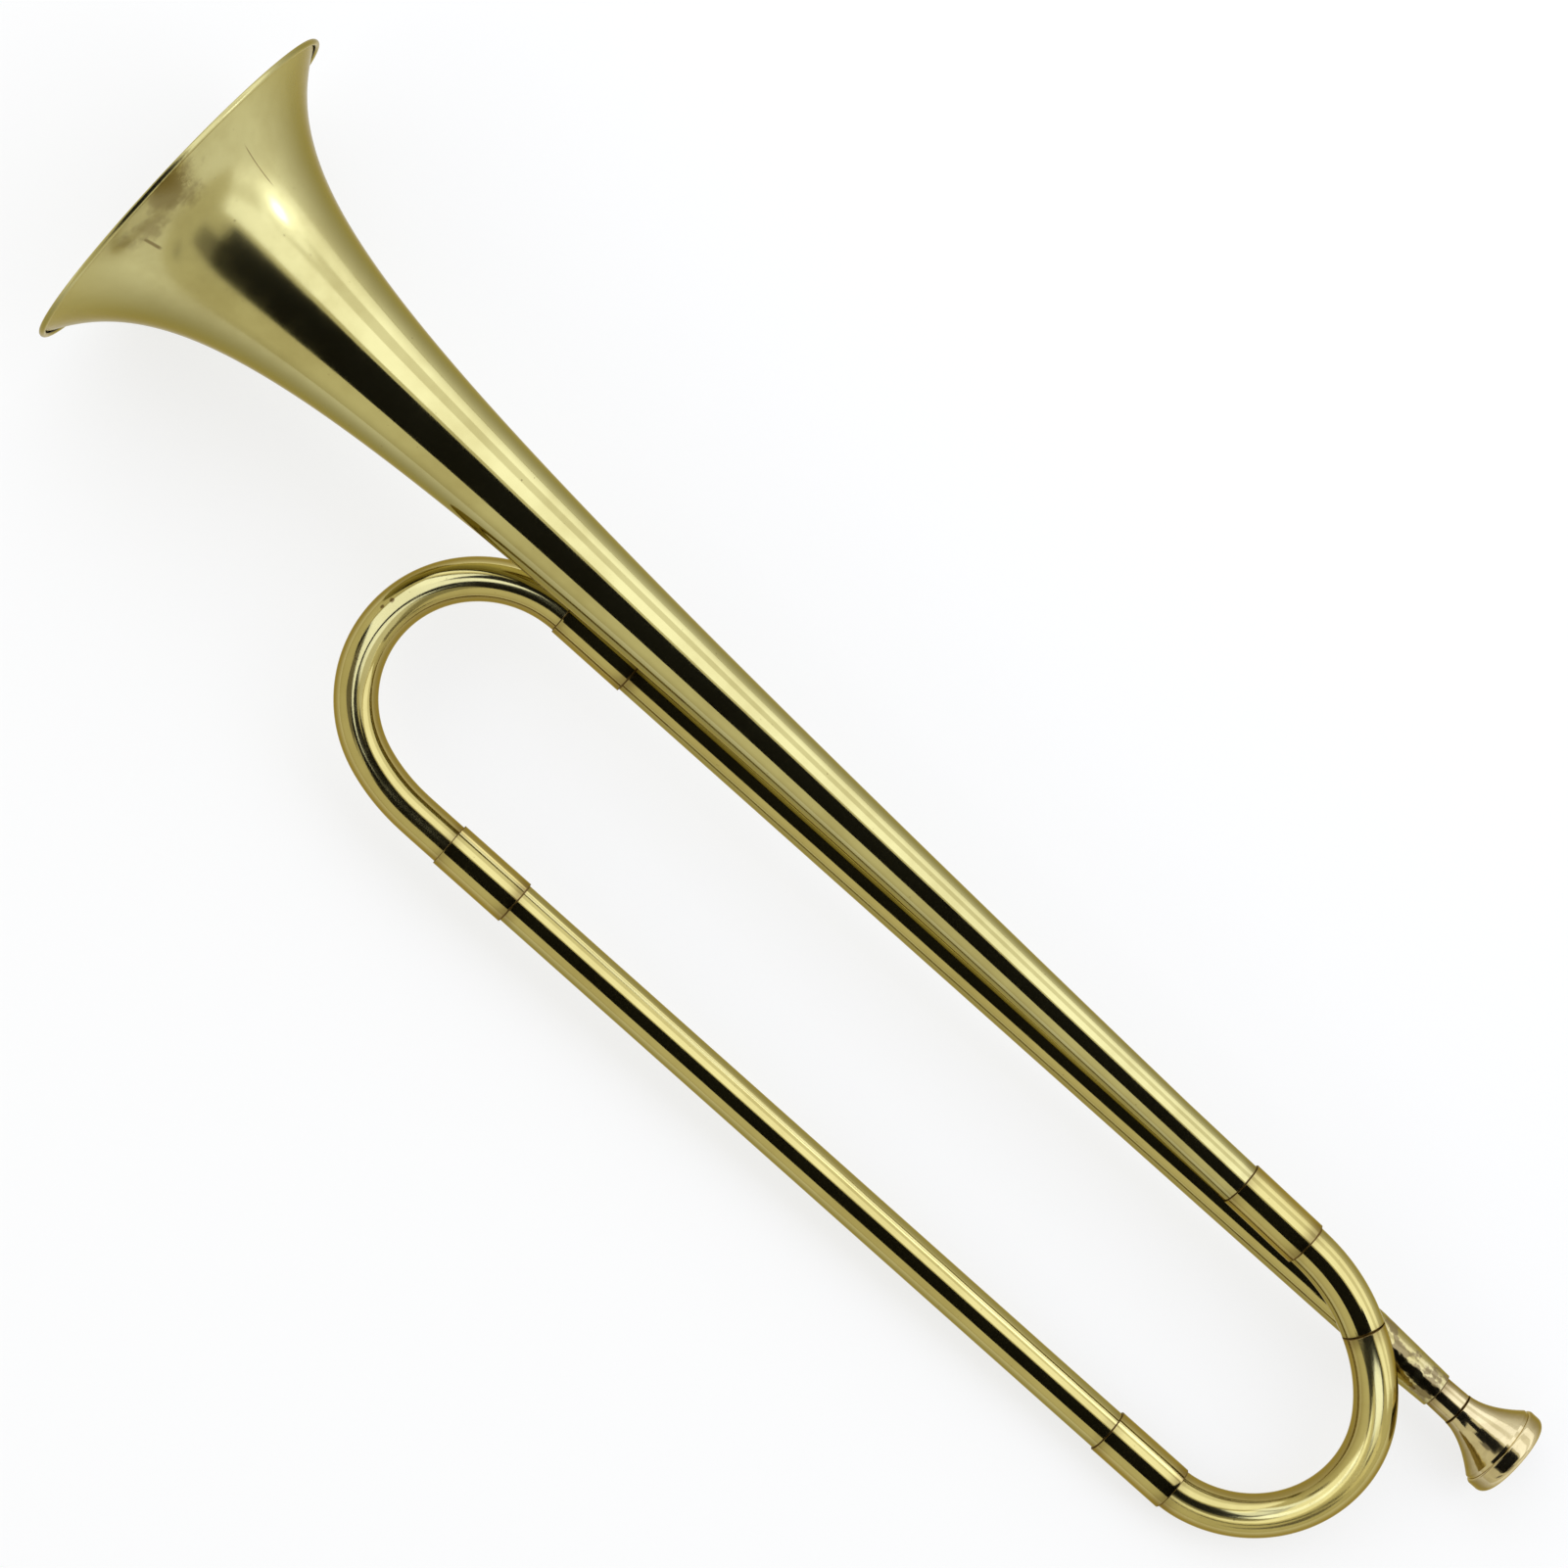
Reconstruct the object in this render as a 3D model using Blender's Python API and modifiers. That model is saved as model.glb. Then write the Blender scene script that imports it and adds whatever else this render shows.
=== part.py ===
"""A once-wound brass bugle lying on its side, built from its separate tubes, ferrules and mouthpiece.

Units are metres. The tubes are laid out in the instrument's own frame: the leadpipe runs along X with
the bell mouth towards +X, the loop opens towards +Y and the bell tube passes above on +Z. One empty
then lays the instrument down on its three touching places.
"""

import math

import bmesh
import bpy
from mathutils import Matrix, Vector

MM = 0.001

# Clearances
SLIP_GAP = 0.15 * MM        # round a tube inside its ferrule, sleeve or socket
END_GAP = 0.30 * MM         # between two parts that meet end to end
CROSSING_GAP = 0.44 * MM    # between the receiver and the bow that passes over it

# Cylindrical tubing and ferrules
TUBE_RADIUS = 6.0 * MM
TUBE_WALL = 0.5 * MM
FERRULE_LENGTH = 23.4 * MM
FERRULE_WALL = 0.4 * MM
FERRULE_CHAMFER = 0.15 * MM

# Bell: a horn that narrows to the tube, with a straight tail
HORN_LENGTH = 356.0 * MM
BELL_TAIL_LENGTH = 37.0 * MM
HORN_FLARE = 0.733          # exponent of the horn curve
BELL_WALL = 0.4 * MM
RIM_RADIUS = 52.6 * MM
RIM_WIRE_RADIUS = 0.3 * MM
RIM_LAND = math.radians(60.0)     # part of the rolled rim that is flat in front
RIM_CURL_END = math.radians(-150.0)   # where the roll stops short of the horn

# Layout of the three long tubes
LOOP_WIDTH = 67.4 * MM      # leadpipe axis to lower tube axis
BELL_REACH = 161.0 * MM     # bell mouth ahead of the mouthpipe joint, measured along the bell
BELL_SETBACK = 46.0 * MM    # bell tail joint ahead of the leadpipe's receiver end
BELL_SHIFT = 8.0 * MM       # bell tail beside the leadpipe, away from the loop
BELL_SPLAY = math.radians(1.37)   # bell axis turned away from the loop

# Mouthpipe bow, the return bend at the bell end; its middle radius follows from the loop's width
MOUTHPIPE_BOW_STRAIGHT = 0.1 * MM         # straight showing beside the mouthpipe ferrule
MOUTHPIPE_BOW_ENTRY_RADIUS = 35.3 * MM
MOUTHPIPE_BOW_ENTRY = math.radians(50.0)  # turned next to the leadpipe
MOUTHPIPE_BOW_EASE_RADIUS = 55.0 * MM
MOUTHPIPE_BOW_EASE = math.radians(19.0)   # turned next to the lower tube
LOWER_REAR_STRAIGHT = 12.3 * MM           # straight showing beside the lower rear ferrule

# Bell bow, the return bend that climbs over the leadpipe to the bell tail; its middle radius follows
# from the distance between the bell tail and the lower tube
ELBOW_STRAIGHT = 2.3 * MM                 # straight showing beside the bell ferrule
ELBOW_RADIUS = 51.6 * MM
ELBOW_ANGLE = math.radians(27.0)          # turned before the seam
SEAM_LAND = 3.0 * MM                      # short straight at the seam
SHOULDER_ANGLE = math.radians(26.0)       # turned after the seam on the elbow's radius
HEEL_RADIUS = 12.0 * MM
HEEL_ANGLE = math.radians(9.0)            # tight bend into the lower tube
LOWER_FRONT_STRAIGHT = 0.3 * MM           # straight showing beside the lower front ferrule
SLEEVE_LENGTH = 16.0 * MM                 # inner sleeve across the seam
SLEEVE_WALL = 0.5 * MM

# Leadpipe end, receiver and mouthpiece
LEADPIPE_NARROWING = 0.35 * MM            # radius lost towards the receiver
SOCKET_DEPTH = 7.7 * MM                   # leadpipe inside the receiver
RECEIVER_WALL = 0.4 * MM                  # round the leadpipe socket
RECEIVER_MOUTH_WALL = 0.49 * MM           # round the shank
SHANK_INSERTION = 20.0 * MM
SHANK_REACH = 7.6 * MM                    # shank showing in front of the receiver
SHANK_RADIUS = 4.7 * MM                   # at the cup joint
SHANK_TAPER = 0.025                       # radius lost per unit length
SHANK_TIP_WALL = 0.71 * MM
SPIGOT_SHOULDER = 1.1 * MM                # step from the shank down to its spigot
SPIGOT_LENGTH = 3.0 * MM
THROAT_RADIUS = 2.0 * MM
CUP_LENGTH = 20.2 * MM
CUP_BACK_STEP = 0.15 * MM                 # back of the cup proud of the shank
CUP_RIM_RADIUS = 12.6 * MM
CUP_RIM_BAND = 6.4 * MM
CUP_RIM_WIDTH = 4.2 * MM                  # from the outer edge to the bowl
CUP_RIM_ROUND = 1.8 * MM
CUP_GROOVE = 0.4 * MM
CUP_FLARE = 1.45                          # exponent of the outer flare
CUP_DEPTH = 11.0 * MM

# Facets
TUBE_SIDES = 20
RING_STEPS = 24
BELL_STEPS = 32
BEND_STEP = math.radians(9.0)
HORN_RINGS = 15
HORN_CROWDING = 2.2         # exponent that draws the horn's rings towards its mouth
CURL_INNER_STEPS = 9
CURL_OUTER_STEPS = 7
WIRE_SIDES = 8
CUP_FLARE_STEPS = 8
CUP_ROUND_STEPS = 4
BOWL_STEPS = 6
TURNED_MERGE = 0.01 * MM
TUBE_MERGE = 0.001 * MM
EMPTY_SIZE = 10.0 * MM
LYING_ROUNDS = 30           # rounds in which the three touching places settle

# Values worked out from the driving dimensions
TUBE_BORE = TUBE_RADIUS - TUBE_WALL
FERRULE_BORE = TUBE_RADIUS + SLIP_GAP
FERRULE_RADIUS = FERRULE_BORE + FERRULE_WALL
RIM_CURL_RADIUS = RIM_WIRE_RADIUS + SLIP_GAP      # inside of the rolled rim
RIM_BEAD_RADIUS = RIM_CURL_RADIUS + BELL_WALL     # outside of the rolled rim
RIM_BEAD = (RIM_RADIUS - RIM_BEAD_RADIUS, -RIM_BEAD_RADIUS * math.cos(RIM_LAND / 2))
BELL_LENGTH = HORN_LENGTH + BELL_TAIL_LENGTH
BELL_TAIL_BACK = BELL_LENGTH - BELL_REACH         # behind the mouthpipe joint
LEADPIPE_LENGTH = BELL_TAIL_BACK + BELL_SETBACK
LEADPIPE_END_RADIUS = TUBE_RADIUS - LEADPIPE_NARROWING
SOCKET_RADIUS = LEADPIPE_END_RADIUS + SLIP_GAP
RECEIVER_RADIUS = SOCKET_RADIUS + RECEIVER_WALL
RECEIVER_LENGTH = SHANK_INSERTION + END_GAP + SOCKET_DEPTH
BOW_TILT = math.asin((RECEIVER_RADIUS + CROSSING_GAP + TUBE_RADIUS) / LOOP_WIDTH)
BELL_LIFT = (LOOP_WIDTH + BELL_SHIFT) * math.tan(BOW_TILT)   # bell tail above the leadpipe
RECEIVER_FRONT = -(LEADPIPE_LENGTH + END_GAP + SHANK_INSERTION + END_GAP)
CUP_JOINT = RECEIVER_FRONT - SHANK_REACH
SPIGOT_RADIUS = SHANK_RADIUS - SPIGOT_SHOULDER
CUP_BACK_RADIUS = SHANK_RADIUS + CUP_BACK_STEP
CUP_INNER_RADIUS = CUP_RIM_RADIUS - CUP_RIM_WIDTH
X_AXIS = Vector((1.0, 0.0, 0.0))
Z_AXIS = Vector((0.0, 0.0, 1.0))

# Colour and roughness of each metal
BRASS = (0.72, 0.60, 0.26)
BRASS_ROUGHNESS = 0.12
PALE_BRASS = (0.74, 0.58, 0.34)
PALE_BRASS_ROUGHNESS = 0.16
STEEL = (0.45, 0.45, 0.46)
STEEL_ROUGHNESS = 0.4


def clear_scene():
    for obj in list(bpy.data.objects):
        bpy.data.objects.remove(obj, do_unlink=True)


def new_collection(name):
    collection = bpy.data.collections.new(name)
    bpy.context.scene.collection.children.link(collection)
    return collection


def finish(name, colour, roughness):
    """A metal of the given colour."""
    material = bpy.data.materials.new(name + "_finish")
    material.use_nodes = True
    shader = material.node_tree.nodes["Principled BSDF"]
    shader.inputs["Base Color"].default_value = (*colour, 1.0)
    shader.inputs["Roughness"].default_value = roughness
    shader.inputs["Metallic"].default_value = 1.0
    material.diffuse_color = (*colour, 1.0)
    return material


def place(obj, parent, colour=BRASS, roughness=BRASS_ROUGHNESS):
    """Adds a part to the object's collection, under the empty that carries it."""
    obj.data.materials.append(finish(obj.name, colour, roughness))
    obj.parent = parent
    PARTS.objects.link(obj)
    return obj


def new_empty(name, location, parent=None):
    empty = bpy.data.objects.new(name, None)
    empty.location = location
    empty.parent = parent
    empty.empty_display_size = EMPTY_SIZE
    PARTS.objects.link(empty)
    return empty


def along(direction):
    """The rotation that turns a part's own Z axis to a direction."""
    return direction.to_track_quat("Z", "Y").to_euler()


def turned(name, outline, steps, location, direction):
    """A ring turned from a closed outline of (radius, height), listed clockwise."""
    mesh = bpy.data.meshes.new(name)
    count = len(outline)
    edges = [(i, (i + 1) % count) for i in range(count)]
    mesh.from_pydata([(r, 0.0, h) for r, h in outline], edges, [])
    obj = bpy.data.objects.new(name, mesh)
    obj.location = location
    obj.rotation_euler = along(direction)
    screw = obj.modifiers.new("Turned", "SCREW")
    screw.steps = steps
    screw.render_steps = steps
    screw.use_merge_vertices = True
    screw.merge_threshold = TURNED_MERGE
    screw.use_smooth_shade = True
    return obj


def sleeve_outline(top, bottom, top_radius, bottom_radius, top_bore, bottom_bore):
    """The outline of a plain tube that may taper."""
    return [(top_radius, top), (bottom_radius, bottom), (bottom_bore, bottom), (top_bore, top)]


def bent_tube(name, points, radius, wall):
    """A hollow tube that follows a line of points."""
    curve = bpy.data.curves.new(name, "CURVE")
    curve.dimensions = "3D"
    curve.bevel_depth = radius
    curve.bevel_resolution = (TUBE_SIDES - 4) // 2
    spline = curve.splines.new("POLY")
    spline.points.add(len(points) - 1)
    for knot, point in zip(spline.points, points):
        knot.co = (*point, 1.0)
    spline.use_smooth = True
    guide = bpy.data.objects.new(name + "_guide", curve)
    bpy.context.scene.collection.objects.link(guide)
    evaluated = guide.evaluated_get(bpy.context.evaluated_depsgraph_get())
    mesh = bpy.data.meshes.new_from_object(evaluated)
    bpy.data.objects.remove(guide, do_unlink=True)
    weld(mesh)
    obj = bpy.data.objects.new(name, mesh)
    shell = obj.modifiers.new("Wall", "SOLIDIFY")
    shell.thickness = wall
    shell.offset = -1.0
    return obj


def weld(mesh):
    body = bmesh.new()
    body.from_mesh(mesh)
    bmesh.ops.remove_doubles(body, verts=body.verts, dist=TUBE_MERGE)
    body.to_mesh(mesh)
    body.free()
    mesh.shade_smooth()


def bend_path(start, heading, side, pieces):
    """Points along straights and arcs that lie in one plane.

    A piece is (length, 0) for a straight, or (radius, angle) for an arc that turns towards side.
    """
    points = [start.copy()]
    position = start.copy()
    forward = heading.normalized()
    left = (side - forward * side.dot(forward)).normalized()
    for size, angle in pieces:
        if angle == 0.0:
            position = position + forward * size
            points.append(position)
            continue
        count = max(2, math.ceil(angle / BEND_STEP))
        centre = position + left * size
        for i in range(1, count + 1):
            turn = angle * i / count
            points.append(centre - left * (size * math.cos(turn)) + forward * (size * math.sin(turn)))
        position = points[-1]
        old_forward = forward
        forward = old_forward * math.cos(angle) + left * math.sin(angle)
        left = left * math.cos(angle) - old_forward * math.sin(angle)
    return points


def cut_path(points, begin, end):
    """The stretch of a line of points between two distances along it."""
    kept = []
    travelled = 0.0
    for first, second in zip(points, points[1:]):
        length = (second - first).length
        for distance in (begin, end):
            if travelled <= distance < travelled + length:
                kept.append(first.lerp(second, (distance - travelled) / length))
        travelled += length
        if begin < travelled < end:
            kept.append(second.copy())
    if end >= travelled:
        kept.append(points[-1].copy())
    return kept


def path_length(points):
    return sum((second - first).length for first, second in zip(points, points[1:]))


# Axes of the long tubes in the instrument's frame; X = 0 is the mouthpipe joint
LOWER_AXIS = Vector((0.0, LOOP_WIDTH, 0.0))
BELL_TAIL = Vector((-BELL_TAIL_BACK, -BELL_SHIFT, BELL_LIFT))
ACROSS = Vector((0.0, BELL_TAIL.y - LOWER_AXIS.y, BELL_TAIL.z)).normalized()
BELL_AXIS = X_AXIS * math.cos(BELL_SPLAY) + ACROSS * math.sin(BELL_SPLAY)
BELL_MOUTH = BELL_TAIL + BELL_AXIS * BELL_LENGTH


def bell_bow_pieces(radius):
    middle_angle = math.pi - BELL_SPLAY - ELBOW_ANGLE - SHOULDER_ANGLE - HEEL_ANGLE
    return [
        (FERRULE_LENGTH / 2 + ELBOW_STRAIGHT, 0.0),
        (ELBOW_RADIUS, ELBOW_ANGLE),
        (SEAM_LAND, 0.0),
        (ELBOW_RADIUS, SHOULDER_ANGLE),
        (radius, middle_angle),
        (HEEL_RADIUS, HEEL_ANGLE),
        (FERRULE_LENGTH / 2 + LOWER_FRONT_STRAIGHT, 0.0),
    ]


def bell_bow_path(radius):
    return bend_path(BELL_TAIL, -BELL_AXIS, -ACROSS, bell_bow_pieces(radius))


def mouthpipe_bow_path(radius):
    pieces = [
        (FERRULE_LENGTH / 2 + MOUTHPIPE_BOW_STRAIGHT, 0.0),
        (MOUTHPIPE_BOW_ENTRY_RADIUS, MOUTHPIPE_BOW_ENTRY),
        (radius, math.pi - MOUTHPIPE_BOW_ENTRY - MOUTHPIPE_BOW_EASE),
        (MOUTHPIPE_BOW_EASE_RADIUS, MOUTHPIPE_BOW_EASE),
        (FERRULE_LENGTH / 2 + LOWER_REAR_STRAIGHT, 0.0),
    ]
    return bend_path(Vector((0.0, 0.0, 0.0)), X_AXIS, LOWER_AXIS, pieces)


def onto_lower_tube(path, across):
    """The path whose middle radius brings its last point onto the lower tube's axis."""
    def miss(radius):
        return (path(radius)[-1] - LOWER_AXIS).dot(across)

    return path(LOOP_WIDTH * miss(0.0) / (miss(0.0) - miss(LOOP_WIDTH)))


BELL_BOW_LINE = onto_lower_tube(bell_bow_path, ACROSS)
MOUTHPIPE_BOW_LINE = onto_lower_tube(mouthpipe_bow_path, LOWER_AXIS)
LOWER_FRONT = BELL_BOW_LINE[-1]
LOWER_REAR = MOUTHPIPE_BOW_LINE[-1]
SEAM = path_length(bend_path(BELL_TAIL, -BELL_AXIS, -ACROSS, bell_bow_pieces(0.0)[:2])) + SEAM_LAND / 2


def horn_radius(depth, mouth_radius):
    """Outer radius of the horn at a depth behind its mouth."""
    ratio = (mouth_radius / TUBE_RADIUS) ** (1.0 / HORN_FLARE)
    offset = HORN_LENGTH / (ratio - 1.0)
    return TUBE_RADIUS * ((HORN_LENGTH + offset) / (depth + offset)) ** HORN_FLARE


def horn_depths():
    """Depths behind the mouth that lie closer together near it."""
    return [HORN_LENGTH * (i / HORN_RINGS) ** HORN_CROWDING for i in range(1, HORN_RINGS + 1)]


def ring_arc(radius, centre, first, last, count):
    """Points of an arc in the (radius, height) plane, between two angles."""
    angles = [first + (last - first) * i / count for i in range(count + 1)]
    return [(centre[0] + radius * math.cos(a), centre[1] + radius * math.sin(a)) for a in angles]


def make_bell(parent):
    """The horn with its straight tail, and the rim rolled back round a wire."""
    land_inner = (math.pi + RIM_LAND) / 2
    land_outer = (math.pi - RIM_LAND) / 2
    curl_in = ring_arc(RIM_CURL_RADIUS, RIM_BEAD, RIM_CURL_END, land_inner, CURL_INNER_STEPS)
    curl_out = ring_arc(RIM_BEAD_RADIUS, RIM_BEAD, land_outer, RIM_CURL_END, CURL_OUTER_STEPS)
    land = ring_arc(RIM_BEAD_RADIUS, RIM_BEAD, land_inner, land_inner, 1)[:1]
    edge_radius, edge_height = curl_in[-1]
    outer = []
    inner = []
    for depth in horn_depths():
        radius = horn_radius(depth, edge_radius)
        slope = (horn_radius(depth + BELL_WALL, edge_radius) - radius) / BELL_WALL
        tilt = math.hypot(1.0, slope)
        outer.append((radius, edge_height - depth))
        inner.append((radius - BELL_WALL / tilt, edge_height - depth - BELL_WALL * slope / tilt))
    tail_end = -BELL_LENGTH + END_GAP / 2
    tail = [(TUBE_RADIUS, tail_end), (TUBE_RADIUS - BELL_WALL, tail_end)]
    outline = outer + tail + inner[::-1] + land + curl_out + curl_in
    return place(turned("bell", outline, BELL_STEPS, BELL_MOUTH, BELL_AXIS), parent)


def make_rim_wire(parent):
    outline = ring_arc(RIM_WIRE_RADIUS, RIM_BEAD, 0.0, -math.tau, WIRE_SIDES)[:-1]
    wire = turned("bell_rim_wire", outline, BELL_STEPS, BELL_MOUTH, BELL_AXIS)
    return place(wire, parent, STEEL, STEEL_ROUGHNESS)


def make_ferrule(name, middle, direction, parent):
    """A sleeve that joins two tube ends, with its outer edges broken."""
    half = FERRULE_LENGTH / 2
    outline = [
        (FERRULE_RADIUS - FERRULE_CHAMFER, half),
        (FERRULE_RADIUS, half - FERRULE_CHAMFER),
        (FERRULE_RADIUS, -half + FERRULE_CHAMFER),
        (FERRULE_RADIUS - FERRULE_CHAMFER, -half),
        (FERRULE_BORE, -half),
        (FERRULE_BORE, half),
    ]
    return place(turned(name, outline, RING_STEPS, middle, direction), parent)


def make_lower_tube(parent):
    length = LOWER_REAR.x - LOWER_FRONT.x - END_GAP
    middle = (LOWER_REAR + LOWER_FRONT) / 2
    outline = sleeve_outline(length / 2, -length / 2, TUBE_RADIUS, TUBE_RADIUS, TUBE_BORE, TUBE_BORE)
    return place(turned("lower_tube", outline, RING_STEPS, middle, X_AXIS), parent)


def make_leadpipe(parent):
    """The mouthpipe, a little narrower at the receiver."""
    outline = sleeve_outline(-END_GAP / 2, -LEADPIPE_LENGTH, TUBE_RADIUS, LEADPIPE_END_RADIUS,
                             TUBE_BORE, LEADPIPE_END_RADIUS - TUBE_WALL)
    return place(turned("leadpipe", outline, RING_STEPS, Vector((0.0, 0.0, 0.0)), X_AXIS), parent)


def shank_radius(depth):
    """Radius of the shank at a distance behind the cup joint."""
    return SHANK_RADIUS - SHANK_TAPER * depth


def make_receiver(parent):
    """The tapered socket that takes the mouthpiece shank."""
    back = RECEIVER_LENGTH
    mouth_bore = shank_radius(SHANK_REACH) + SLIP_GAP
    mouth_radius = mouth_bore + RECEIVER_MOUTH_WALL
    tip_bore = shank_radius(SHANK_REACH + SHANK_INSERTION) + SLIP_GAP
    step = back - SOCKET_DEPTH
    outline = [(RECEIVER_RADIUS, back), (RECEIVER_RADIUS, back - SOCKET_DEPTH / 2)]
    outline += [(mouth_radius, FERRULE_CHAMFER), (mouth_radius - FERRULE_CHAMFER, 0.0)]
    outline += [(mouth_bore, 0.0), (tip_bore, step), (SOCKET_RADIUS, step), (SOCKET_RADIUS, back)]
    front = Vector((RECEIVER_FRONT, 0.0, 0.0))
    return place(turned("mouthpiece_receiver", outline, RING_STEPS, front, X_AXIS), parent)


def make_shank(parent):
    """The tapered shank, with a spigot that enters the back of the cup."""
    tip = SHANK_REACH + SHANK_INSERTION
    start = END_GAP / 2
    outline = [
        (SPIGOT_RADIUS, SPIGOT_LENGTH - END_GAP),
        (SPIGOT_RADIUS, -start),
        (shank_radius(start), -start),
        (shank_radius(tip), -tip),
        (shank_radius(tip) - SHANK_TIP_WALL, -tip),
        (THROAT_RADIUS, SPIGOT_LENGTH - END_GAP),
    ]
    return place(turned("mouthpiece_shank", outline, RING_STEPS, Vector((0.0, 0.0, 0.0)), -X_AXIS),
                 parent, PALE_BRASS, PALE_BRASS_ROUGHNESS)


def make_cup(parent):
    """The cup: flared outside, with a rim band behind a rounded edge and a bowl inside."""
    flare_end = CUP_LENGTH - CUP_RIM_BAND
    spread = CUP_RIM_RADIUS - CUP_GROOVE - CUP_BACK_RADIUS
    shares = [i / CUP_FLARE_STEPS for i in range(CUP_FLARE_STEPS + 1)]
    flare = [(CUP_BACK_RADIUS + spread * share ** CUP_FLARE, flare_end * share) for share in shares]
    flare[0] = (CUP_BACK_RADIUS, END_GAP / 2)
    band_start = (CUP_RIM_RADIUS, flare_end + CUP_GROOVE)
    rounding = min(CUP_RIM_ROUND, (CUP_RIM_WIDTH - END_GAP) / 2)
    edge_centre = (CUP_RIM_RADIUS - rounding, CUP_LENGTH - rounding)
    edge = ring_arc(rounding, edge_centre, math.pi / 2, 0.0, CUP_ROUND_STEPS)
    lip_centre = (CUP_INNER_RADIUS + rounding, CUP_LENGTH - rounding)
    lip = ring_arc(rounding, lip_centre, math.pi, math.pi / 2, CUP_ROUND_STEPS)
    bowl_bottom = CUP_LENGTH - CUP_DEPTH
    bowl_height = lip[0][1] - bowl_bottom
    turns = [math.pi / 2 * i / BOWL_STEPS for i in range(BOWL_STEPS)]
    bowl = [(THROAT_RADIUS + (CUP_INNER_RADIUS - THROAT_RADIUS) * math.sin(turn),
             bowl_bottom + bowl_height * (1.0 - math.cos(turn))) for turn in turns]
    socket = SPIGOT_RADIUS + SLIP_GAP
    bore = [(socket, END_GAP / 2), (socket, SPIGOT_LENGTH), (THROAT_RADIUS, SPIGOT_LENGTH)]
    outline = edge + [band_start] + flare[::-1] + bore + bowl + lip
    return place(turned("mouthpiece_cup", outline, RING_STEPS, Vector((0.0, 0.0, 0.0)), -X_AXIS),
                 parent, PALE_BRASS, PALE_BRASS_ROUGHNESS)


def lowest_on_ring(centre, axis, radius, up):
    """The point of a ring that lies furthest down."""
    flat = up - axis * up.dot(axis)
    return centre - flat.normalized() * radius


def lying_rotation():
    """Turns the instrument so that bell rim, cup rim and loop touch one level."""
    cup_ring = Vector((CUP_JOINT - CUP_LENGTH + CUP_RIM_BAND / 2, 0.0, 0.0))
    loop_rings = [(point, TUBE_RADIUS) for point in BELL_BOW_LINE]
    loop_rings += [(LOWER_FRONT + X_AXIS * side * FERRULE_LENGTH / 2, FERRULE_RADIUS) for side in (-1, 1)]
    up = Z_AXIS
    for _ in range(LYING_ROUNDS):
        bell_touch = lowest_on_ring(BELL_MOUTH - BELL_AXIS * RIM_BEAD_RADIUS, BELL_AXIS, RIM_RADIUS, up)
        cup_touch = lowest_on_ring(cup_ring, X_AXIS, CUP_RIM_RADIUS, up)
        loop_touch = min((point - up * radius for point, radius in loop_rings), key=up.dot)
        up = (cup_touch - bell_touch).cross(bell_touch - loop_touch).normalized()
        if up.z < 0.0:
            up = -up
    forward = (X_AXIS - up * up.x).normalized()
    return Matrix((forward, up.cross(forward), up)).to_euler()


def lay_down(carrier):
    """Rests the parts on the level with the middle of their box over the origin."""
    carrier.rotation_euler = lying_rotation()
    bpy.context.view_layer.update()
    graph = bpy.context.evaluated_depsgraph_get()
    corners = []
    for obj in PARTS.objects:
        if obj.type == "MESH":
            evaluated = obj.evaluated_get(graph)
            corners += [evaluated.matrix_world @ vertex.co for vertex in evaluated.data.vertices]
    low = Vector(min(corner[i] for corner in corners) for i in range(3))
    high = Vector(max(corner[i] for corner in corners) for i in range(3))
    carrier.location -= Vector(((low.x + high.x) / 2, (low.y + high.y) / 2, low.z))
    bpy.context.view_layer.update()


def main():
    bugle = new_empty("bugle_carrier", (0.0, 0.0, 0.0))
    slide = new_empty("mouthpiece_slide", (CUP_JOINT, 0.0, 0.0), bugle)

    make_bell(bugle)
    make_rim_wire(bugle)
    make_ferrule("bell_ferrule", BELL_TAIL, BELL_AXIS, bugle)

    line = BELL_BOW_LINE
    elbow = cut_path(line, END_GAP / 2, SEAM - END_GAP / 2)
    bow = cut_path(line, SEAM + END_GAP / 2, path_length(line) - END_GAP / 2)
    sleeve = cut_path(line, SEAM - SLEEVE_LENGTH / 2, SEAM + SLEEVE_LENGTH / 2)
    place(bent_tube("bow_elbow", elbow, TUBE_RADIUS, TUBE_WALL), bugle)
    place(bent_tube("bow_joint_sleeve", sleeve, TUBE_BORE - SLIP_GAP, SLEEVE_WALL), bugle)
    place(bent_tube("bell_bow", bow, TUBE_RADIUS, TUBE_WALL), bugle)

    make_ferrule("lower_front_ferrule", LOWER_FRONT, X_AXIS, bugle)
    make_lower_tube(bugle)
    make_ferrule("lower_rear_ferrule", LOWER_REAR, X_AXIS, bugle)

    line = MOUTHPIPE_BOW_LINE
    bow = cut_path(line, END_GAP / 2, path_length(line) - END_GAP / 2)
    place(bent_tube("mouthpipe_bow", bow, TUBE_RADIUS, TUBE_WALL), bugle)
    make_ferrule("mouthpipe_ferrule", Vector((0.0, 0.0, 0.0)), X_AXIS, bugle)
    make_leadpipe(bugle)
    make_receiver(bugle)
    make_shank(slide)
    make_cup(slide)
    lay_down(bugle)


clear_scene()
PARTS = new_collection("bugle")
main()
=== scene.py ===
"""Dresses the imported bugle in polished, lacquered brass and shows it from above on a pale floor.

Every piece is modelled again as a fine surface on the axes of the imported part, in metres. The tubes are
laid out in the instrument's own frame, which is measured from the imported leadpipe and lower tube: the
leadpipe runs along X with the bell mouth towards +X, and the loop opens towards +Y.
"""

import math
from collections import namedtuple

import bpy
import numpy as np
from mathutils import Matrix, Vector

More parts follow.
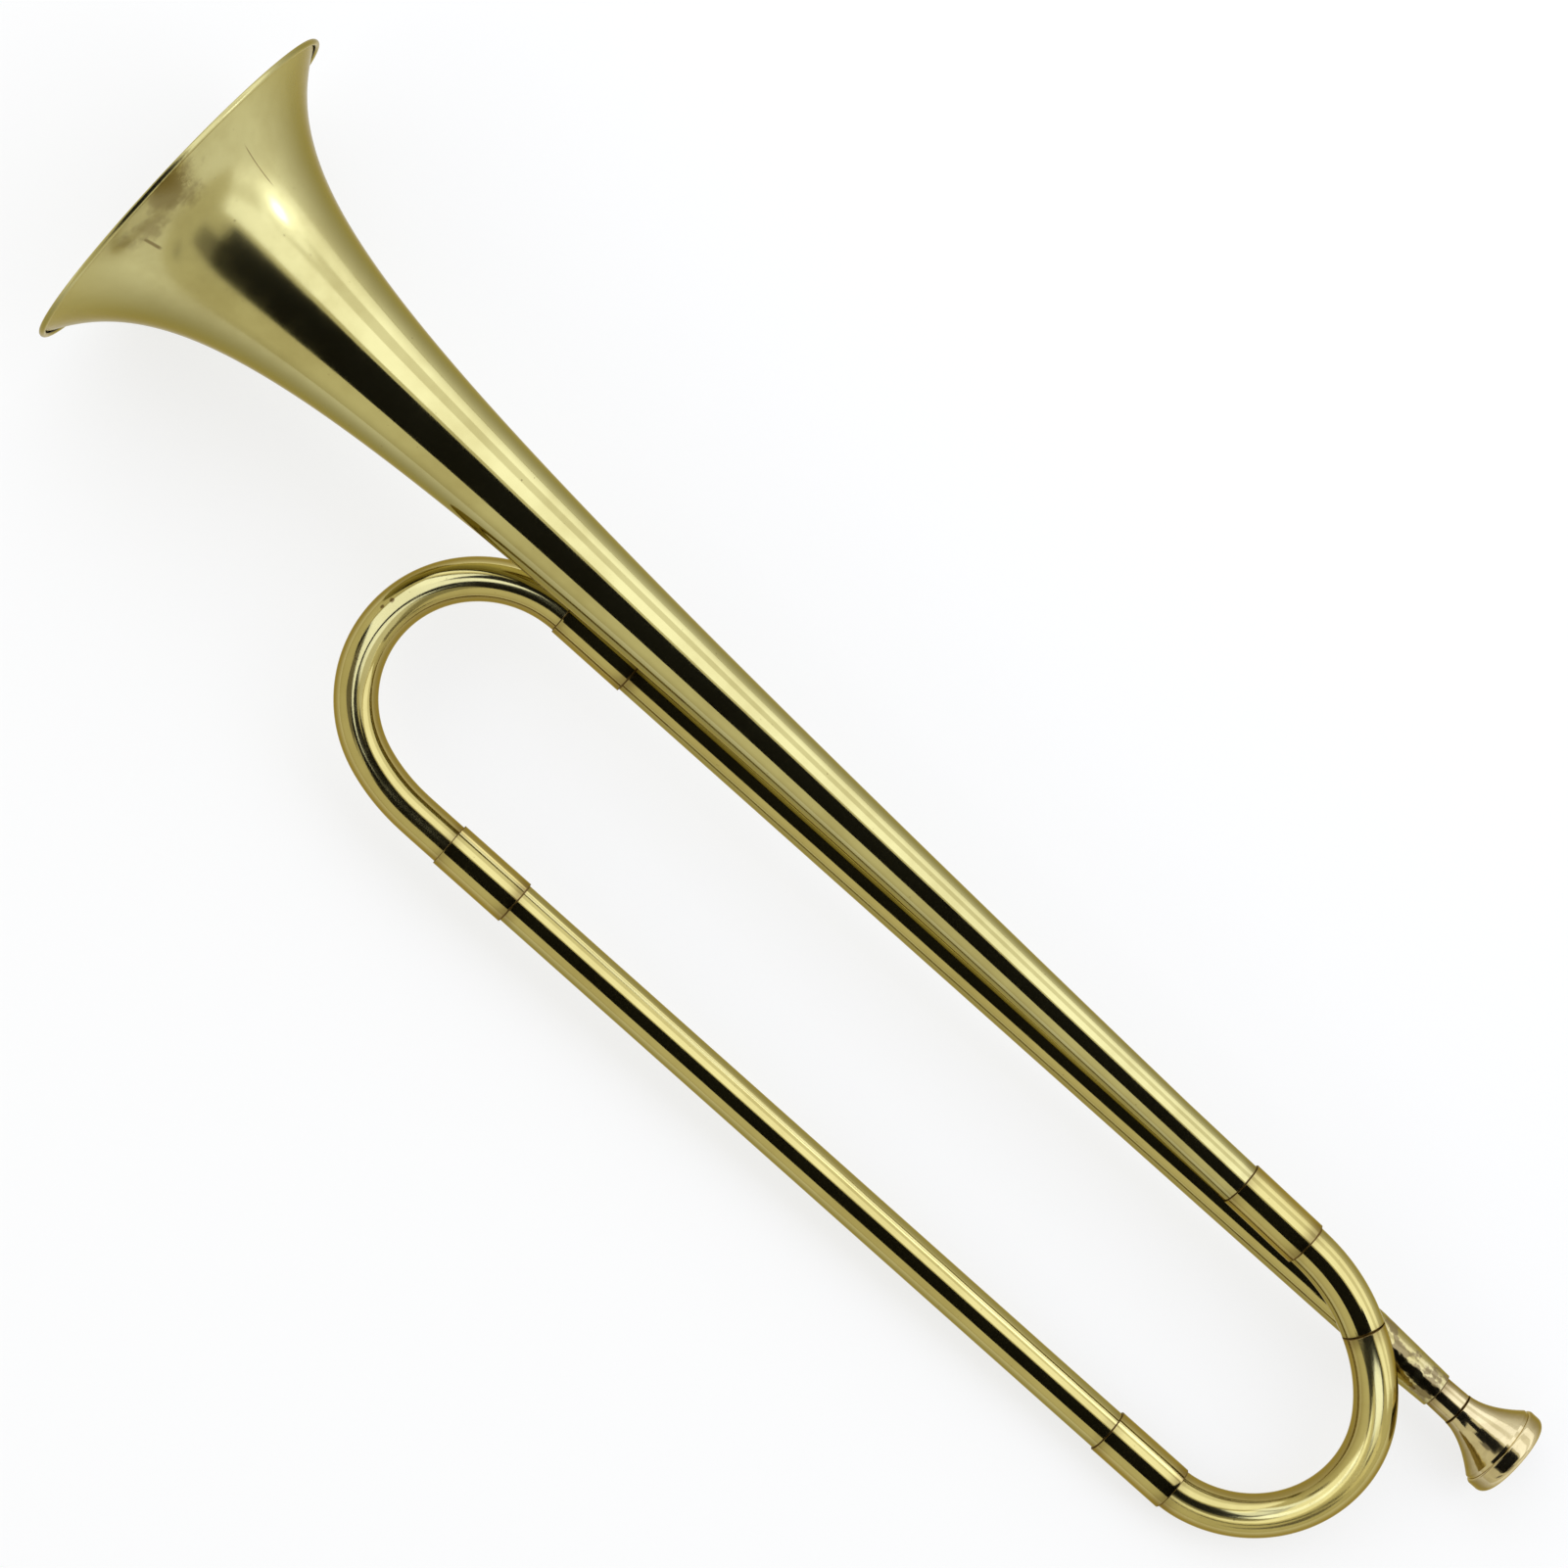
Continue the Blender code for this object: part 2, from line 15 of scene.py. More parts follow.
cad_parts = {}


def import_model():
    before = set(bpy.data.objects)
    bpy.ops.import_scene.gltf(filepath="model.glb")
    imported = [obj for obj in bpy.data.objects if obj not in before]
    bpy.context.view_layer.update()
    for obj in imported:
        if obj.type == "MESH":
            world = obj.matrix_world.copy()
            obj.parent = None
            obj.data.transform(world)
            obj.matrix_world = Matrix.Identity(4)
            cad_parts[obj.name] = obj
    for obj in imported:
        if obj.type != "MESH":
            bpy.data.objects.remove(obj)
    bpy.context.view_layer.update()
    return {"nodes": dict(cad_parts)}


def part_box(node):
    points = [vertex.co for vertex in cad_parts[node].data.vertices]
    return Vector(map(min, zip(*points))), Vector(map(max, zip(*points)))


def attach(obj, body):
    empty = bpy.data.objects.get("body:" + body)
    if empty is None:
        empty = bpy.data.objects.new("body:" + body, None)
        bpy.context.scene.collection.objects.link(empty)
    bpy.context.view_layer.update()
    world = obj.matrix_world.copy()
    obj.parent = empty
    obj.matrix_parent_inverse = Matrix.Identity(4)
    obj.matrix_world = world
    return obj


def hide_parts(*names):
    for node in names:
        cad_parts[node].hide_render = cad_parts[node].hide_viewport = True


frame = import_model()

MM = 0.001

# Clearances and broken edges
SLIP_GAP = 0.15 * MM
END_GAP = 0.30 * MM
CROSSING_GAP = 0.44 * MM
EDGE_ROUND = 0.15 * MM

# Cylindrical tubing and ferrules
TUBE_RADIUS = 6.0 * MM
TUBE_WALL = 0.5 * MM
FERRULE_LENGTH = 23.4 * MM
FERRULE_WALL = 0.4 * MM

# Bell
HORN_LENGTH = 356.0 * MM
BELL_TAIL_LENGTH = 37.0 * MM
HORN_FLARE = 0.733
BELL_WALL = 0.4 * MM
RIM_RADIUS = 52.6 * MM
RIM_WIRE_RADIUS = 0.3 * MM
RIM_LAND = math.radians(60.0)
RIM_CURL_END = math.radians(-150.0)
SATIN_DEPTH = 75.0 * MM     # how far the buffed flare, and the painted shade laid on it, reaches behind the mouth

# Layout of the long tubes
LOOP_WIDTH = 67.4 * MM
BELL_REACH = 161.0 * MM
BELL_SETBACK = 46.0 * MM
BELL_SHIFT = 8.0 * MM
BELL_SPLAY = math.radians(1.37)

# Bows
MOUTHPIPE_BOW_STRAIGHT = 0.1 * MM
MOUTHPIPE_BOW_ENTRY_RADIUS = 35.3 * MM
MOUTHPIPE_BOW_ENTRY = math.radians(50.0)
MOUTHPIPE_BOW_EASE_RADIUS = 55.0 * MM
MOUTHPIPE_BOW_EASE = math.radians(19.0)
LOWER_REAR_STRAIGHT = 12.3 * MM
ELBOW_STRAIGHT = 2.3 * MM
ELBOW_RADIUS = 51.6 * MM
ELBOW_ANGLE = math.radians(27.0)
SEAM_LAND = 3.0 * MM
SHOULDER_ANGLE = math.radians(26.0)
HEEL_RADIUS = 12.0 * MM
HEEL_ANGLE = math.radians(9.0)
LOWER_FRONT_STRAIGHT = 0.3 * MM
SLEEVE_LENGTH = 16.0 * MM
SLEEVE_WALL = 0.5 * MM

# Leadpipe end, receiver and mouthpiece
LEADPIPE_NARROWING = 0.35 * MM
SOCKET_DEPTH = 7.7 * MM
RECEIVER_WALL = 0.4 * MM
RECEIVER_MOUTH_WALL = 0.49 * MM
SHANK_INSERTION = 20.0 * MM
SHANK_REACH = 7.6 * MM
SHANK_RADIUS = 4.7 * MM
SHANK_TAPER = 0.025
SHANK_TIP_WALL = 0.71 * MM
SPIGOT_SHOULDER = 1.1 * MM
SPIGOT_LENGTH = 3.0 * MM
THROAT_RADIUS = 2.0 * MM
CUP_LENGTH = 20.2 * MM
CUP_BACK_STEP = 0.15 * MM
CUP_RIM_RADIUS = 12.6 * MM
CUP_RIM_BAND = 6.4 * MM
CUP_RIM_WIDTH = 4.2 * MM
CUP_EDGE_ROUND = 2.5 * MM
CUP_LIP_ROUND = 1.5 * MM
CUP_GROOVE = 0.9 * MM
CUP_FLARE = 1.7
CUP_DEPTH = 11.0 * MM

# Fineness of the surfaces: steps round a piece, rings along it and steps of a rounded edge
BELL_STEPS = 192
TURNED_STEPS = 112
TUBE_SIDES = 72
HORN_RINGS = 150
HORN_CROWDING = 1.7         # draws the rings of the horn together towards its mouth
BELL_TAIL_RINGS = 12
FERRULE_RINGS = 16
TUBE_RINGS = 60
BORE_RINGS = 4
RECEIVER_RINGS = 24
SHANK_RINGS = 40
CUP_FLARE_RINGS = 48
CUP_BOWL_RINGS = 30
CUP_GROOVE_STEPS = 6
CUP_ROUND_STEPS = 18
RIM_CURL_STEPS = 24
RIM_WIRE_STEPS = 16
EDGE_STEPS = 5
ARC_STEP = math.radians(1.0)
RING_SPACING = 1.0 * MM
PATH_EASING = 2.5 * MM      # length over which a bend eases into a straight
EASING_REACH = 3.0          # how many of those lengths count on each side
CREASE = math.radians(32.0)

# Where a piece counts as facing sideways and takes its painted shade, a deeper tone that stands in for the
# shade its flanks reflect
PAINTED_SHADE_START = 0.55          # sideways share of the normal where the painted shade begins
PAINTED_SHADE_FULL = 0.90           # and where it is full
ROUND_X = (0.70, 1.0)       # shares of X and Y that are sideways for a piece along X
ANY_WAY = (1.0, 1.0)        # and for a bent piece

# Values worked out from the sizes above
TUBE_BORE = TUBE_RADIUS - TUBE_WALL
FERRULE_BORE = TUBE_RADIUS + SLIP_GAP
FERRULE_RADIUS = FERRULE_BORE + FERRULE_WALL
RIM_CURL_RADIUS = RIM_WIRE_RADIUS + SLIP_GAP
RIM_BEAD_RADIUS = RIM_CURL_RADIUS + BELL_WALL
RIM_BEAD = (RIM_RADIUS - RIM_BEAD_RADIUS, -RIM_BEAD_RADIUS * math.cos(RIM_LAND / 2))
BELL_LENGTH = HORN_LENGTH + BELL_TAIL_LENGTH
BELL_TAIL_BACK = BELL_LENGTH - BELL_REACH
LEADPIPE_LENGTH = BELL_TAIL_BACK + BELL_SETBACK
LEADPIPE_END_RADIUS = TUBE_RADIUS - LEADPIPE_NARROWING
SOCKET_RADIUS = LEADPIPE_END_RADIUS + SLIP_GAP
RECEIVER_RADIUS = SOCKET_RADIUS + RECEIVER_WALL
RECEIVER_LENGTH = SHANK_INSERTION + END_GAP + SOCKET_DEPTH
BOW_TILT = math.asin((RECEIVER_RADIUS + CROSSING_GAP + TUBE_RADIUS) / LOOP_WIDTH)
BELL_LIFT = (LOOP_WIDTH + BELL_SHIFT) * math.tan(BOW_TILT)
RECEIVER_FRONT = -(LEADPIPE_LENGTH + END_GAP + SHANK_INSERTION + END_GAP)
CUP_JOINT = Vector((RECEIVER_FRONT - SHANK_REACH, 0.0, 0.0))
SPIGOT_RADIUS = SHANK_RADIUS - SPIGOT_SHOULDER
CUP_BACK_RADIUS = SHANK_RADIUS + CUP_BACK_STEP
CUP_INNER_RADIUS = CUP_RIM_RADIUS - CUP_RIM_WIDTH
ORIGIN = Vector((0.0, 0.0, 0.0))
X_AXIS = Vector((1.0, 0.0, 0.0))
UP = Vector((0.0, 0.0, 1.0))
LOWER_AXIS = Vector((0.0, LOOP_WIDTH, 0.0))
BELL_TAIL = Vector((-BELL_TAIL_BACK, -BELL_SHIFT, BELL_LIFT))
ACROSS = Vector((0.0, BELL_TAIL.y - LOWER_AXIS.y, BELL_TAIL.z)).normalized()
BELL_AXIS = X_AXIS * math.cos(BELL_SPLAY) + ACROSS * math.sin(BELL_SPLAY)
BELL_MOUTH = BELL_TAIL + BELL_AXIS * BELL_LENGTH
FAR = 1.0                   # a distance to the nearest seam that says there is none


# The instrument's frame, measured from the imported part

def tube_ends(name):
    """The middles of a straight tube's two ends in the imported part, the end towards -X first."""
    low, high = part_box(name)
    points = np.array([vertex.co for vertex in frame["nodes"][name].data.vertices])
    middle = (low.x + high.x) / 2
    return [Vector(points[side].mean(axis=0)) for side in (points[:, 0] < middle, points[:, 0] > middle)]


def instrument_frame():
    """The frame with the leadpipe along X and the loop towards +Y, at the leadpipe's bell end."""
    back, front = tube_ends("leadpipe")
    forward = (front - back).normalized()
    towards_loop = tube_ends("lower_tube")[1] - front
    sideways = (towards_loop - forward * towards_loop.dot(forward)).normalized()
    origin = front + forward * END_GAP / 2
    columns = Matrix((forward, sideways, forward.cross(sideways))).transposed().to_4x4()
    return Matrix.Translation(origin) @ columns


INSTRUMENT = instrument_frame()


# Mesh tools

def smooth(share):
    """Eases a share between 0 and 1 at both of its ends."""
    return share * share * (3.0 - 2.0 * share)


def distances(line):
    """The distance along a line to each of its points."""
    return np.concatenate([[0.0], np.cumsum(np.linalg.norm(np.diff(line, axis=0), axis=1))])


def points_at(line, places):
    """The points of a line at given distances along it."""
    travelled = distances(line)
    return np.stack([np.interp(places, travelled, line[:, i]) for i in range(3)], axis=1)


def seam_distance(places, seams):
    """How far places along a piece are from its nearest seam, each a place and the side it shows on."""
    nearest = np.full(places.shape, FAR)
    for place, side in seams:
        nearest = np.minimum(nearest, (places - place) * side)
    return nearest


def painted_shade_share(mesh, sideways):
    """How far each point of a piece at rest faces sideways and not up or down, which sets its painted shade.
    """
    normals = np.zeros(3 * len(mesh.vertices))
    mesh.vertex_normals.foreach_get("vector", normals)
    level = np.linalg.norm(normals.reshape(-1, 3)[:, :2] * sideways, axis=1)
    return smooth(np.clip((level - PAINTED_SHADE_START) / (PAINTED_SHADE_FULL - PAINTED_SHADE_START), 0.0, 1.0))


def grid_faces(rows, columns):
    """The faces of a grid of points that wraps round in both directions."""
    row = np.arange(rows).repeat(columns)
    column = np.tile(np.arange(columns), rows)
    next_row = (row + 1) % rows
    next_column = (column + 1) % columns
    corners = [(row, column), (row, next_column), (next_row, next_column), (next_row, column)]
    return np.stack([r * columns + c for r, c in corners], axis=1)


def surface(name, points, drawn, seam, satin, matrix, sideways):
    """A closed body from a grid of points.

    drawn is each point's place on the straightened piece, seam its distance from the nearest joint and
    satin its share of the buffed finish. The materials read these three and the share of painted flank
    shade.
    """
    mesh = bpy.data.meshes.new(name)
    mesh.from_pydata(points.reshape(-1, 3).tolist(), [], grid_faces(*points.shape[:2]).tolist())
    mesh.transform(matrix)
    mesh.attributes.new("drawn", "FLOAT_VECTOR", "POINT").data.foreach_set("vector", drawn.ravel())
    # The flank share says where the painted shade goes: faces turned sideways are darkened.
    shares = {"seam": seam, "satin": satin, "flank": painted_shade_share(mesh, sideways)}
    for key, share in shares.items():
        mesh.attributes.new(key, "FLOAT", "POINT").data.foreach_set("value", share.ravel())
    mesh.shade_smooth()
    mesh.set_sharp_from_angle(angle=CREASE)
    piece = bpy.data.objects.new(name, mesh)
    bpy.context.scene.collection.objects.link(piece)
    return piece


def turned(name, outline, steps, location, direction, seams=(), satin=None):
    """A ring turned from a closed outline of (radius, height), listed clockwise."""
    radius, height = np.array(outline).T
    angle = np.linspace(0.0, math.tau, steps, endpoint=False)[:, None]
    points = np.stack([np.cos(angle) * radius, np.sin(angle) * radius, height + 0.0 * angle], axis=2)
    buffed = np.zeros(height.shape) if satin is None else satin(height)
    turn = direction.to_track_quat("Z", "Y").to_matrix().to_4x4()
    matrix = INSTRUMENT @ Matrix.Translation(location) @ turn
    every_step = np.ones((steps, 1))
    seam = every_step * seam_distance(height, seams)
    return surface(name, points, points, seam, every_step * buffed, matrix, ROUND_X)


def swept(name, path, normal, radius, wall, seams=()):
    """A hollow tube along a path that lies in one plane, with its end edges broken."""
    centre = np.array([point[:] for point in path])
    along = np.gradient(centre, axis=0)
    along /= np.linalg.norm(along, axis=1, keepdims=True)
    flat = np.array(normal)
    side = np.cross(flat, along)
    last = len(centre) - 1
    outer = [(i, radius) for i in range(last + 1)]
    outer[0] = (0, radius - EDGE_ROUND)
    outer[-1] = (last, radius - EDGE_ROUND)
    inner = [(i, radius - wall) for i in range(last, -1, -1)]
    index, size = (np.array(values) for values in zip(*(outer + inner)))
    angle = np.linspace(0.0, math.tau, TUBE_SIDES, endpoint=False)
    ring = side[index][:, None] * np.cos(angle)[:, None] + flat * np.sin(angle)[:, None]
    points = centre[index][:, None] + ring * size[:, None, None]
    travelled = np.repeat(distances(centre)[index][:, None], TUBE_SIDES, axis=1)
    drawn = np.stack([size[:, None] * np.cos(angle), size[:, None] * np.sin(angle), travelled], axis=2)
    seam = seam_distance(travelled, seams)
    return surface(name, points, drawn, seam, 0.0 * seam, INSTRUMENT, ANY_WAY)


def bend_path(start, heading, side, pieces):
    """Closely set points along straights (length, 0) and arcs (radius, angle) that turn towards side."""
    points = [start.copy()]
    forward = heading.normalized()
    left = (side - forward * side.dot(forward)).normalized()
    for size, angle in pieces:
        position = points[-1]
        if angle == 0.0:
            points.append(position + forward * size)
            continue
        count = math.ceil(angle / ARC_STEP)
        centre = position + left * size
        for i in range(1, count + 1):
            turn = angle * i / count
            points.append(centre - left * (size * math.cos(turn)) + forward * (size * math.sin(turn)))
        old_forward = forward
        forward = old_forward * math.cos(angle) + left * math.sin(angle)
        left = left * math.cos(angle) - old_forward * math.sin(angle)
    return points


def evenly(points):
    """The same line with even steps, and its bends eased into its straights."""
    line = np.array([point[:] for point in points])
    length = line_length(line)
    even = points_at(line, np.linspace(0.0, length, round(length / RING_SPACING) + 1))
    reach = round(EASING_REACH * PATH_EASING / RING_SPACING)
    offsets = np.arange(-reach, reach + 1)
    weights = np.exp(-0.5 * (offsets * RING_SPACING / PATH_EASING) ** 2)
    weights /= weights.sum()
    before = even[0] + (even[1] - even[0]) * np.arange(-reach, 0)[:, None]
    after = even[-1] + (even[-1] - even[-2]) * np.arange(1, reach + 1)[:, None]
    padded = np.concatenate([before, even, after])
    return np.stack([np.convolve(padded[:, i], weights, mode="valid") for i in range(3)], axis=1)


def stretch(line, begin, end):
    """The part of a line between two distances along it, with points set for its broken edges."""
    first = begin + EDGE_ROUND
    last = end - EDGE_ROUND
    inside = [place for place in distances(line) if first < place < last]
    kept = points_at(line, np.array([begin, first, *inside, last, end]))
    return [Vector(point) for point in kept]


def line_length(line):
    return float(distances(line)[-1])


def arc(radius, centre, first, last, count):
    """Points of an arc in the (radius, height) plane, between two angles."""
    angles = np.linspace(first, last, count + 1)
    return [(centre[0] + radius * math.cos(a), centre[1] + radius * math.sin(a)) for a in angles]


def spaced(start, end, count):
    """Points on a straight stretch of an outline, both ends included."""
    return [(start[0] + (end[0] - start[0]) * i / count, start[1] + (end[1] - start[1]) * i / count)
            for i in range(count + 1)]


# Bent tube routes

def bell_bow_pieces(radius):
    """The straights and arcs from the bell tail to the lower tube, for a radius of the middle arc."""
    middle_angle = math.pi - BELL_SPLAY - ELBOW_ANGLE - SHOULDER_ANGLE - HEEL_ANGLE
    return [
        (FERRULE_LENGTH / 2 + ELBOW_STRAIGHT, 0.0),
        (ELBOW_RADIUS, ELBOW_ANGLE),
        (SEAM_LAND, 0.0),
        (ELBOW_RADIUS, SHOULDER_ANGLE),
        (radius, middle_angle),
        (HEEL_RADIUS, HEEL_ANGLE),
        (FERRULE_LENGTH / 2 + LOWER_FRONT_STRAIGHT, 0.0),
    ]


def bell_bow_path(radius):
    return bend_path(BELL_TAIL, -BELL_AXIS, -ACROSS, bell_bow_pieces(radius))


def mouthpipe_bow_path(radius):
    pieces = [
        (FERRULE_LENGTH / 2 + MOUTHPIPE_BOW_STRAIGHT, 0.0),
        (MOUTHPIPE_BOW_ENTRY_RADIUS, MOUTHPIPE_BOW_ENTRY),
        (radius, math.pi - MOUTHPIPE_BOW_ENTRY - MOUTHPIPE_BOW_EASE),
        (MOUTHPIPE_BOW_EASE_RADIUS, MOUTHPIPE_BOW_EASE),
        (FERRULE_LENGTH / 2 + LOWER_REAR_STRAIGHT, 0.0),
    ]
    return bend_path(ORIGIN, X_AXIS, LOWER_AXIS, pieces)


def onto_lower_tube(path, across):
    """The path whose middle radius brings its last point onto the lower tube's axis."""
    def miss(radius):
        return (path(radius)[-1] - LOWER_AXIS).dot(across)

    return path(LOOP_WIDTH * miss(0.0) / (miss(0.0) - miss(LOOP_WIDTH)))


BELL_BOW_ROUTE = onto_lower_tube(bell_bow_path, ACROSS)
MOUTHPIPE_BOW_ROUTE = onto_lower_tube(mouthpipe_bow_path, LOWER_AXIS)
LOWER_FRONT = BELL_BOW_ROUTE[-1]
LOWER_REAR = MOUTHPIPE_BOW_ROUTE[-1]
BELL_BOW_LINE = evenly(BELL_BOW_ROUTE)
MOUTHPIPE_BOW_LINE = evenly(MOUTHPIPE_BOW_ROUTE)
SEAM = FERRULE_LENGTH / 2 + ELBOW_STRAIGHT + ELBOW_RADIUS * ELBOW_ANGLE + SEAM_LAND / 2


# Pieces

def horn_radius(depth, mouth_radius):
    """Outer radius of the horn at a depth behind its mouth."""
    ratio = (mouth_radius / TUBE_RADIUS) ** (1.0 / HORN_FLARE)
    offset = HORN_LENGTH / (ratio - 1.0)
    return TUBE_RADIUS * ((HORN_LENGTH + offset) / (depth + offset)) ** HORN_FLARE


def buffed_flare(height):
    """The satin finish, and the painted shade laid on it, fade from the bell mouth towards the throat."""
    return smooth(np.clip(1.0 + height / SATIN_DEPTH, 0.0, 1.0))


def horn_walls(edge_radius, edge_height):
    """Outlines of the horn's outside and inside, from the rim to the tail."""
    outer = []
    inner = []
    for i in range(1, HORN_RINGS + 1):
        depth = HORN_LENGTH * (i / HORN_RINGS) ** HORN_CROWDING
        radius = horn_radius(depth, edge_radius)
        slope = (horn_radius(depth + BELL_WALL, edge_radius) - radius) / BELL_WALL
        tilt = math.hypot(1.0, slope)
        outer.append((radius, edge_height - depth))
        inner.append((radius - BELL_WALL / tilt, edge_height - depth - BELL_WALL * slope / tilt))
    return outer, inner


def bell():
    """The horn with its straight tail, and the rim rolled back round its wire."""
    land_inner = (math.pi + RIM_LAND) / 2
    land_outer = (math.pi - RIM_LAND) / 2
    curl_in = arc(RIM_CURL_RADIUS, RIM_BEAD, RIM_CURL_END, land_inner, RIM_CURL_STEPS)
    curl_out = arc(RIM_BEAD_RADIUS, RIM_BEAD, land_outer, RIM_CURL_END, RIM_CURL_STEPS)
    land = (RIM_BEAD[0] - RIM_BEAD_RADIUS * math.sin(RIM_LAND / 2), 0.0)
    outer, inner = horn_walls(*curl_in[-1])
    tail_end = -BELL_LENGTH + END_GAP / 2
    tail = spaced((TUBE_RADIUS, outer[-1][1]), (TUBE_RADIUS, tail_end), BELL_TAIL_RINGS)[1:]
    tail += [(TUBE_RADIUS - BELL_WALL, tail_end)]
    outline = outer + tail + inner[::-1] + [land] + curl_out + curl_in
    seams = [(-BELL_LENGTH + FERRULE_LENGTH / 2, 1)]
    return turned("spun_bell", outline, BELL_STEPS, BELL_MOUTH, BELL_AXIS, seams, buffed_flare)


def rim_wire():
    outline = arc(RIM_WIRE_RADIUS, RIM_BEAD, 0.0, -math.tau, RIM_WIRE_STEPS)[:-1]
    return turned("drawn_rim_wire", outline, BELL_STEPS, BELL_MOUTH, BELL_AXIS)


def ferrule(name, middle, direction):
    """A sleeve with rounded outer edges."""
    half = FERRULE_LENGTH / 2
    top = (FERRULE_RADIUS - EDGE_ROUND, half - EDGE_ROUND)
    bottom = (FERRULE_RADIUS - EDGE_ROUND, EDGE_ROUND - half)
    outline = arc(EDGE_ROUND, top, math.pi / 2, 0.0, EDGE_STEPS)
    outline += spaced((FERRULE_RADIUS, top[1]), (FERRULE_RADIUS, bottom[1]), FERRULE_RINGS)[1:-1]
    outline += arc(EDGE_ROUND, bottom, 0.0, -math.pi / 2, EDGE_STEPS)
    outline += spaced((FERRULE_BORE, -half), (FERRULE_BORE, half), BORE_RINGS)
    return turned(name, outline, TURNED_STEPS, middle, direction, [(-half, 1), (half, -1)])


def straight_tube(name, location, bottom, top, radii, seams):
    """A straight tube that may taper, with radii at its top and bottom."""
    top_radius, bottom_radius = radii
    outline = spaced((top_radius, top), (bottom_radius, bottom), TUBE_RINGS)
    outline += spaced((bottom_radius - TUBE_WALL, bottom), (top_radius - TUBE_WALL, top), BORE_RINGS)
    return turned(name, outline, TURNED_STEPS, location, X_AXIS, seams)


def lower_tube():
    length = LOWER_REAR.x - LOWER_FRONT.x - END_GAP
    middle = (LOWER_REAR + LOWER_FRONT) / 2
    seam = length / 2 + END_GAP / 2 - FERRULE_LENGTH / 2
    return straight_tube("drawn_lower_tube", middle, -length / 2, length / 2, (TUBE_RADIUS, TUBE_RADIUS),
                         [(-seam, 1), (seam, -1)])


def leadpipe():
    seams = [(-FERRULE_LENGTH / 2, -1), (SOCKET_DEPTH - LEADPIPE_LENGTH, 1)]
    return straight_tube("drawn_leadpipe", ORIGIN, -LEADPIPE_LENGTH, -END_GAP / 2,
                         (TUBE_RADIUS, LEADPIPE_END_RADIUS), seams)


def shank_radius(depth):
    """Radius of the shank at a distance behind the cup joint."""
    return SHANK_RADIUS - SHANK_TAPER * depth


def receiver():
    """The tapered socket for the mouthpiece, with rounded ends."""
    back = RECEIVER_LENGTH
    mouth_bore = shank_radius(SHANK_REACH) + SLIP_GAP
    mouth_radius = mouth_bore + RECEIVER_MOUTH_WALL
    tip_bore = shank_radius(SHANK_REACH + SHANK_INSERTION) + SLIP_GAP
    step = back - SOCKET_DEPTH
    back_edge = (RECEIVER_RADIUS - EDGE_ROUND, back - EDGE_ROUND)
    mouth_edge = (mouth_radius - EDGE_ROUND, EDGE_ROUND)
    outline = arc(EDGE_ROUND, back_edge, math.pi / 2, 0.0, EDGE_STEPS)
    outline += spaced((RECEIVER_RADIUS, back - SOCKET_DEPTH / 2), (mouth_radius, EDGE_ROUND), RECEIVER_RINGS)
    outline += arc(EDGE_ROUND, mouth_edge, 0.0, -math.pi / 2, EDGE_STEPS)[1:]
    outline += [(mouth_bore, 0.0), (tip_bore, step), (SOCKET_RADIUS, step), (SOCKET_RADIUS, back)]
    front = Vector((RECEIVER_FRONT, 0.0, 0.0))
    return turned("tapered_receiver", outline, TURNED_STEPS, front, X_AXIS, [(0.0, 1), (back, -1)])


def shank():
    """The tapered shank, with a spigot that enters the back of the cup."""
    tip = SHANK_REACH + SHANK_INSERTION
    start = END_GAP / 2
    outline = [(SPIGOT_RADIUS, SPIGOT_LENGTH - END_GAP), (SPIGOT_RADIUS, -start)]
    outline += spaced((shank_radius(start), -start), (shank_radius(tip), -tip), SHANK_RINGS)
    outline += [(shank_radius(tip) - SHANK_TIP_WALL, -tip), (THROAT_RADIUS, SPIGOT_LENGTH - END_GAP)]
    seams = [(-start, -1), (-SHANK_REACH, 1)]
    return turned("turned_shank", outline, TURNED_STEPS, CUP_JOINT, -X_AXIS, seams)


def cup_flare():
    """The outside of the cup, from its back to the groove behind the rim band."""
    end = CUP_LENGTH - CUP_RIM_BAND
    spread = CUP_RIM_RADIUS - CUP_GROOVE - CUP_BACK_RADIUS
    shares = [i / CUP_FLARE_RINGS for i in range(1, CUP_FLARE_RINGS + 1)]
    flare = [(CUP_BACK_RADIUS + spread * share ** CUP_FLARE, end * share) for share in shares]
    return [(CUP_BACK_RADIUS, END_GAP / 2)] + flare


def cup_bowl(height):
    """The inside of the cup, from its throat to the lip."""
    bottom = CUP_LENGTH - CUP_DEPTH
    spread = CUP_INNER_RADIUS - THROAT_RADIUS
    turns = [math.pi / 2 * i / CUP_BOWL_RINGS for i in range(CUP_BOWL_RINGS)]
    return [(THROAT_RADIUS + spread * math.sin(turn), bottom + (height - bottom) * (1.0 - math.cos(turn)))
            for turn in turns]


